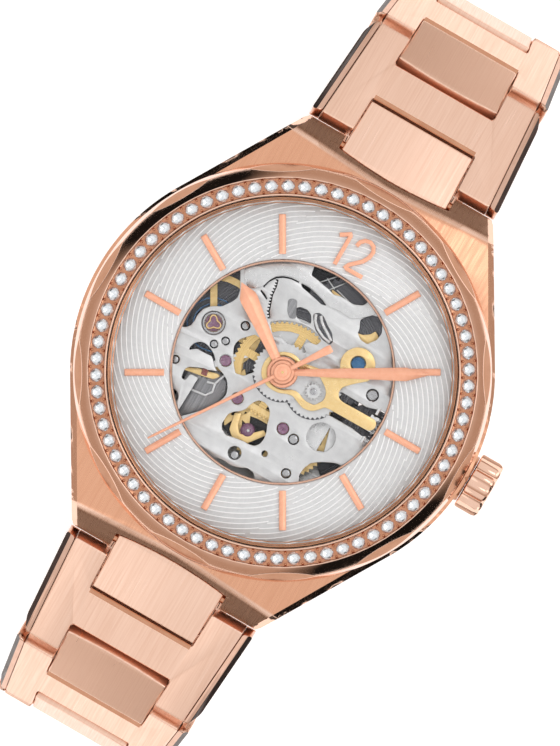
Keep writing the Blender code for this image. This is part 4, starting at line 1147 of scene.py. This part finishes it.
def makePlate():
    look = plateLook
    low, high = look["low"], look["high"]
    rim = softened(look["rim"], 0.14, 2)
    loops = [ring(look["radius"], 96)] + [softened(window, 0.14, 2) for window in look["windows"].values()]
    loops += [rim, toothedSlit(look["teeth"], *look["tooth"])]
    loops += [ring(r, 32, x, y) for x, y, r in look["holes"]]
    loops += [ring(look["jewel"] + 0.06, 28, x, y) for x, y in look["jewels"]]
    loops += [ring(r + 0.07, 28, x, y) for x, y, r in look["pins"]]
    loops += [ring(r + 0.08, 28, x, y) for x, y, r, turn in look["screws"]]
    pieces = [painted(plate(loops, low, high, look["edge"]), "plateSilver")]
    arch = plate([softened(look["arch"], 0.2), rim], high - 0.06, look["archHigh"], 0.07)
    pieces.append(painted(arch, "archSilver"))
    # each inlay is a sheet painted as shade
    for name, inlay in look["inlays"].items():
        pieces.append(painted(plate([softened(inlay, 0.2)], high - 0.1, high + 0.02, 0.02, 1), name))
    for line in look["springs"]:
        spring = plate([ribbon(line, look["springWide"])], high - 0.08, high + 0.2, 0.09, 3)
        pieces.append(painted(spring, "archSilver"))
    for x, y, r in look["pins"]:
        pieces.append(painted(roundPin(x, y, r, low + 0.05, high - 0.02), "pinSteel"))
    pieces.append(painted(roundPin(*look["footPin"], low - 0.2, high - 0.06), "pinSteel"))
    for x, y, r, turn in look["screws"]:
        pieces.append(painted(screw(x, y, r, low + 0.75, high + 0.06, turn), "pinSteel"))
    for x, y, half in look["ticks"]:
        tick = [(x - 0.13, y - half), (x + 0.13, y - half), (x + 0.13, y + half), (x - 0.13, y + half)]
        pieces.append(painted(plate([softened(tick, 0.06, 2)], high - 0.1, high + 0.22), "steelPolish"))
    for k in range(look["ribs"]):
        x, y = 9.06 + 0.02 * k, -1.9 + 0.28 * k
        rib = plate([ribbon([(x, y), (8.86 + 0.02 * k, y)], 0.12)], high - 0.1, high + 0.12, 0.03, 1)
        pieces.append(painted(rib, "pinSteel"))
    finishPiece(joined(pieces), "main_plate_dressed", None, "case", ["main_plate"])


# what shows in the depth of the windows: a lower floor, gilt arms and jewels
depthLook = {
    "floor": [(-6.95, -2.9), (-4.6, -2.55), (-2.9, -2.9), (-2.9, -5.6), (-4.6, -7.4), (-6.2, -8.1),
              (-6.9, -6.5)],
    "floorZ": (4.62, 4.8), "posts": [(-6.55, -5.6), (-3.05, -6.2)], "round": (5.54, -3.13, 1.55),
    "wedge": [(5.8, -2.05), (5.78, -4.28), (6.36, -4.05)], "roundZ": (5.0, 5.3),
    "gilt": {
        "arm": [(-7.5, -3.82), (-6.83, -3.46), (-6.21, -3.19), (-5.41, -3.05), (-4.77, -2.83),
                (-4.45, -2.86), (-4.41, -3.01), (-4.77, -3.44), (-5.32, -3.56), (-5.93, -3.72),
                (-6.56, -3.83), (-7.5, -4.0)],
        "vee": [(-1.8, -4.95), (-1.3, -4.7), (-1.05, -5.73), (-0.57, -6.3), (-0.1, -6.15), (1.07, -5.0),
                (1.5, -5.25), (0.3, -6.85), (-0.75, -7.05), (-1.5, -6.4)],
        "cap": [(0.1, 8.15), (1.3, 8.0), (0.99, 7.5), (0.35, 7.6)],
        "click": [(3.6, 6.02), (4.27, 6.1), (4.84, 6.49), (5.06, 6.94), (5.6, 6.6), (5.4, 5.6),
                  (4.99, 5.4), (4.2, 5.5)]},
    "giltZ": (5.06, 5.31), "rack": [(-1.25, -3.86), (-0.9, -3.45), (0.9, -3.45), (1.05, -3.86)],
    "wires": ([(-1.1, 8.1), (-0.03, 9.3)], [(-0.2, 7.8), (0.95, 9.3)], [(-0.7, 8.75), (0.3, 8.25)],
              [(0.5, 8.3), (2.4, 7.8)]),
    "levers": ([(-4.0, -2.5), (-4.3, -3.2), (-4.45, -3.69), (-5.11, -3.89)],
               [(-4.45, -3.69), (-4.3, -4.4), (-4.68, -4.94), (-5.95, -5.1)]),
    "ruby": [(-6.02, -3.0), (-5.5, -2.9), (-5.35, -3.5), (-5.9, -3.6)], "cone": (-0.1, -5.72, 0.62),
    "shock": (-7.1, 0.7), "shade": (5.1, 3.2, 3.26),
    "bed": [(6.4, -1.3), (10.7, -1.3), (10.7, 1.3), (7.6, 1.3), (7.35, 1.12), (6.9, 0.72), (6.4, 0.36)],
    "bedZ": (3.84, 3.96),
    "grooves": ((0.0, 0.0, 2.3, 2.55, 216, 346, 6.29, 6.33),
                (3.06, -0.1, 2.14, 2.4, 196, 326, 6.335, 6.365)),
    "pit": (4.86, 4.92, 2.2, 4.5, 4.75, 56.0, 139.0), "pinion": (3.06, -0.1, 0.8, 0.6, 14, 6.9, 7.0),
    "rackTeeth": 9}


# dark plates under the balance and the stem, and dark grooves under the teeth of the motion wheels, laid in
# as painted shade in the depth of the windows
def makeBacks():
    look = depthLook
    x, y = look["shock"]
    reach, low, high = look["shade"]
    fork = plateLook["jewels"][0]
    dark = [plate([ring(reach, 72, x, y), ring(0.75, 28, x, y), ring(0.5, 20, *fork)], low, high, 0.015, 1)]
    low, high = look["bedZ"]
    dark.append(plate([look["bed"]], low, high, 0.03, 1))
    for side in (1, -1):
        wall = [(7.6, 1.18 * side), (10.7, 1.18 * side), (10.7, 1.3 * side), (7.6, 1.3 * side)]
        dark.append(plate([wall], low + 0.02, plateLook["low"] + 0.02, 0.02, 1))
    for gx, gy, inner, outer, first, last, low, high in look["grooves"]:
        groove = bow(outer, first, last, 48, gx, gy) + bow(inner, last, first, 48, gx, gy)
        dark.append(plate([groove], low, high, 0.01, 1))
    finishPiece(joined(dark), "window_backs", "deepSteel", "case", ())


# shallow pit of the centre wheel
def makePit():
    low, high, inner, wall, outer, first, last = depthLook["pit"]
    edge = bow(outer, first, last, 40)
    floor = plate([edge + bow(inner, last, first, 24)], low, high, 0.01, 1)
    rim = plate([edge + bow(wall, last, first, 40)], low + 0.02, plateLook["low"] + 0.02, 0.02, 1)
    finishPiece(joined([floor, rim]), "wheel_pit", "plateSilver", "case", ())


# toothed face of the minute wheel's pinion, with its cap
def makePinion():
    x, y, tip, root, teeth, low, high = depthLook["pinion"]
    star = []
    for k in range(teeth):
        a = 2 * pi * k / teeth
        for r, turn in ((root, -0.3), (tip, -0.14), (tip, 0.14), (root, 0.3)):
            b = a + turn * 2 * pi / teeth
            star.append((x + r * cos(b), y + r * sin(b)))
    gear = painted(plate([star, ring(0.36, 24, x, y)], low, high, 0.02, 1), "archSilver")
    cap = painted(roundPin(x, y, 0.3, low, high + 0.06), "pinSteel")
    finishPiece(joined([gear, cap]), "minute_pinion_face", None, "motion", ())


def makeDepth():
    look = depthLook
    low, high = look["floorZ"]
    floor = [plate([softened(look["floor"], 0.3)], low, high)]
    floor += [roundPin(x, y, 0.3, high - 0.05, 5.32) for x, y in look["posts"]]
    # the lower floor is painted a darker grey as painted shade
    floor = painted(joined(floor), "recessShadeSteel")
    x, y, r = look["round"]
    disc = painted(plate([ring(r, 40, x, y), look["wedge"]], *look["roundZ"]), "archSilver")
    finishPiece(joined([floor, disc]), "window_floor", None, "case", ())
    makeBacks()
    makePit()
    makePinion()
    low, high = look["giltZ"]
    gilt = [plate([softened(shape, 0.12, 2)], low, high, 0.04) for shape in look["gilt"].values()]
    rack = look["rack"][:]
    for k in range(look["rackTeeth"]):
        x = 1.0 - 0.24 * k
        rack += [(x, -3.95), (x - 0.06, -4.12), (x - 0.12, -4.12), (x - 0.18, -3.95)]
    gilt.append(plate([rack], low, high, 0.02, 1))
    finishPiece(joined(gilt), "window_gilt", "giltSatin", "case", ())
    levers = [plate([ribbon(line, 0.19)], low + 0.02, high, 0.04) for line in look["levers"]]
    levers += [plate([ribbon(line, 0.1)], low + 0.1, high, 0.03) for line in look["wires"]]
    finishPiece(joined(levers), "window_levers", "archSilver", "case", ())


# heights in these profiles count from the top of the main plate
jewelLook = {
    "shockRing": [(0.7, -0.7), (0.99, -0.7), (0.99, 0.12), (0.93, 0.18), (0.78, 0.18), (0.7, 0.08)],
    "shockStone": [(0.0, -0.24), (0.12, -0.24), (0.3, -0.12), (0.72, -0.05), (0.72, -0.34), (0.0, -0.34)],
    "rubyZ": (5.0, 5.42), "clover": (0.5, 0.15), "cloverWide": (0.08, -0.06)}


def makeJewels():
    look = jewelLook
    high = plateLook["high"]
    r = plateLook["jewel"]
    stone = [(0.0, -0.12), (0.09, -0.12), (0.12, -0.06), (r * 0.6, -0.02), (r - 0.06, 0.02), (r, -0.03),
             (r, -0.35), (0.0, -0.35)]
    jewels = [painted(lathe([(reach, high + z) for reach, z in stone], 36, *spot), "rubyStone")
              for spot in plateLook["jewels"]]
    jewels.append(painted(plate([softened(depthLook["ruby"], 0.1, 2)], *look["rubyZ"], 0.06), "redStone"))
    x, y, r = depthLook["cone"]
    cone = lathe([(0.0, 5.0), (r, 5.0), (r, 5.2), (r * 0.7, 5.4), (0.16, 5.46), (0.0, 5.46)], 36, x, y)
    jewels.append(painted(cone, "rubyStone"))
    jewels.append(painted(roundPin(x + 0.05, y + 0.02, 0.16, 5.3, 5.56), "steelPolish"))
    x, y = depthLook["shock"]
    for profile, steps, name in (("shockRing", 48, "pinSteel"), ("shockStone", 40, "rubyStone")):
        jewels.append(painted(lathe([(r, high + z) for r, z in look[profile]], steps, x, y), name))
    middle, wave = look["clover"]
    loops = []
    for wide in look["cloverWide"]:
        angles = [2 * pi * k / 60 for k in range(60)]
        reaches = [middle + wave * cos(3 * a) + wide for a in angles]
        loops.append([(x + r * cos(a), y + r * sin(a)) for r, a in zip(reaches, angles)])
    jewels.append(painted(plate(loops, high - 0.08, high + 0.04, 0.02, 1), "giltSatin"))
    finishPiece(joined(jewels), "movement_jewels", None, "case", ())


# gilt setting plate over the hour wheel, with its blued screw
settingLook = {
    "low": 7.0, "high": 7.2, "edge": 0.06, "loop": (5.16, 3.8, 0.66), "post": (6.2, 3.9, 0.45),
    "outer": [(-1.45, -1.12), (-1.75, -0.46), (-1.77, 0.28), (-1.48, 0.95), (-0.89, 1.51), (-0.14, 1.81),
              (0.48, 1.75), (0.95, 1.52), (2.9, 1.89), (4.06, 2.64), (3.84, 3.02), (3.64, 3.65),
              (3.82, 4.35), (4.31, 4.96), (5.07, 5.23), (5.82, 5.08), (6.41, 4.59), (6.71, 3.84),
              (6.69, 3.0), (5.74, 2.19), (5.0, 1.44), (4.91, 0.88), (5.22, 0.48), (5.62, 0.37),
              (8.76, 0.43), (9.04, 0.17), (9.09, -0.3), (8.79, -0.64), (8.41, -0.69), (4.92, -0.73),
              (4.54, -0.79), (4.25, -1.17), (3.77, -1.63), (3.03, -1.79), (2.4, -1.57), (1.73, -1.29),
              (1.28, -1.38), (0.62, -1.68), (-0.19, -1.73), (-0.88, -1.54)],
    "inner": [(-0.73, -0.79), (-0.39, -1.18), (-0.05, -1.35), (0.39, -1.36), (0.92, -1.12), (1.43, -0.85),
              (1.96, -0.79), (2.49, -1.02), (2.93, -1.13), (3.68, -1.07), (4.17, -0.35), (4.08, 0.26),
              (3.7, 0.72), (3.25, 1.01), (2.84, 1.27), (2.26, 1.27), (1.44, 0.96), (0.82, 1.02),
              (0.37, 1.35), (-0.15, 1.39), (-0.7, 1.2), (-1.11, 0.74), (-1.15, 0.14), (-0.97, -0.43)],
    "footZ": 6.28}


def makeSetting():
    look = settingLook
    low, high, foot = look["low"], look["high"], look["footZ"]
    x, y, r = look["loop"]
    loops = [softened(look["outer"], 0.3), softened(look["inner"], 0.2, 2), ring(r, 36, x, y)]
    flat = plate(loops, low, high, look["edge"])
    px, py, pr = look["post"]
    post = lathe([(0.0, 6.32), (pr, 6.32), (pr, low + 0.06), (0.0, low + 0.06)], 24, px, py)
    whole = joined([flat, post])
    finishPiece(whole, "setting_plate_dressed", "giltSatin", "case", ["setting_plate"])
    shank = lathe([(0.0, foot), (0.4, foot), (0.4, low - 0.1), (0.0, low - 0.1)], 24, x, y)
    head = screw(x, y, r - 0.05, low - 0.14, high + 0.04, 25)
    finishPiece(joined([head, shank]), "setting_screw", "bluedSteel", "case", ())


makePlate()
makeDepth()
makeJewels()
makeSetting()
print("movement done")

# clasp, case back and rotor: the solids again, with their edges broken (finish, width of edge, body, slot)
copyLook = {"clasp_cover": ("roseSatin", 0.16, "clasp_cover", "rose_gold_plate"),
            "clasp_base": ("steelBrushed", 0.1, "clasp_base", "steel"),
            "clasp_end_link": ("roseSatin", 0.14, "clasp_end_link", "rose_gold_plate"),
            "clasp_button_a": ("rosePolish", 0.14, "clasp_button_a", "rose_gold_plate"),
            "clasp_button_b": ("rosePolish", 0.14, "clasp_button_b", "rose_gold_plate"),
            "case_back": ("steelTurned", 0.08, "case", "steel"),
            "rotor": ("rotorSteel", 0.08, "rotor", "steel")}


def makeCopies():
    for node, (look, width, body, slot) in copyLook.items():
        letGo()
        piece = bpy.data.objects.new(node + "_copy", frame["nodes"][node].data.copy())
        bpy.context.collection.objects.link(piece)
        piece.scale = (1 / mm, 1 / mm, 1 / mm)
        settle(piece)
        edit(piece)
        bpy.ops.mesh.remove_doubles(threshold=0.0005)
        bpy.ops.mesh.select_all(action="SELECT")
        bpy.ops.mesh.dissolve_limited(angle_limit=radians(1.0))
        leave()
        roundEdges(piece, width, 3, 32)
        finishPiece(piece, node + "_dressed", look, body, [node])


makeCopies()
print("clasp, back and rotor done")

# finishes of the solids that stay as they are
nodeLooks = {
    "crystal": "clearGlass", "case_back_glass": "clearGlass", "movement_ring": "ringResin",
    "train_bridge": "bridgeSilver", "balance_cock": "bridgeSilver", "centre_wheel": "giltRings",
    "cannon_pinion": "steelPolish", "hour_wheel": "plateSilver", "third_wheel": "giltSatin",
    "fourth_wheel": "giltRings", "escape_wheel": "giltSatin", "pallet_fork": "steelPolish",
    # the barrel takes the dark steel as painted shade
    "balance_wheel": "giltSatin", "hairspring": "bluedSteel", "barrel": "deepSteel",
    "mainspring": "steelPolish", "ratchet_wheel": "steelPolish", "minute_wheel": "plateSilver",
    "winding_stem": "steelPolish", "crown_seal": "sealRubber"}
for node, look in nodeLooks.items():
    painted(frame["nodes"][node], look)
print("other finishes done")
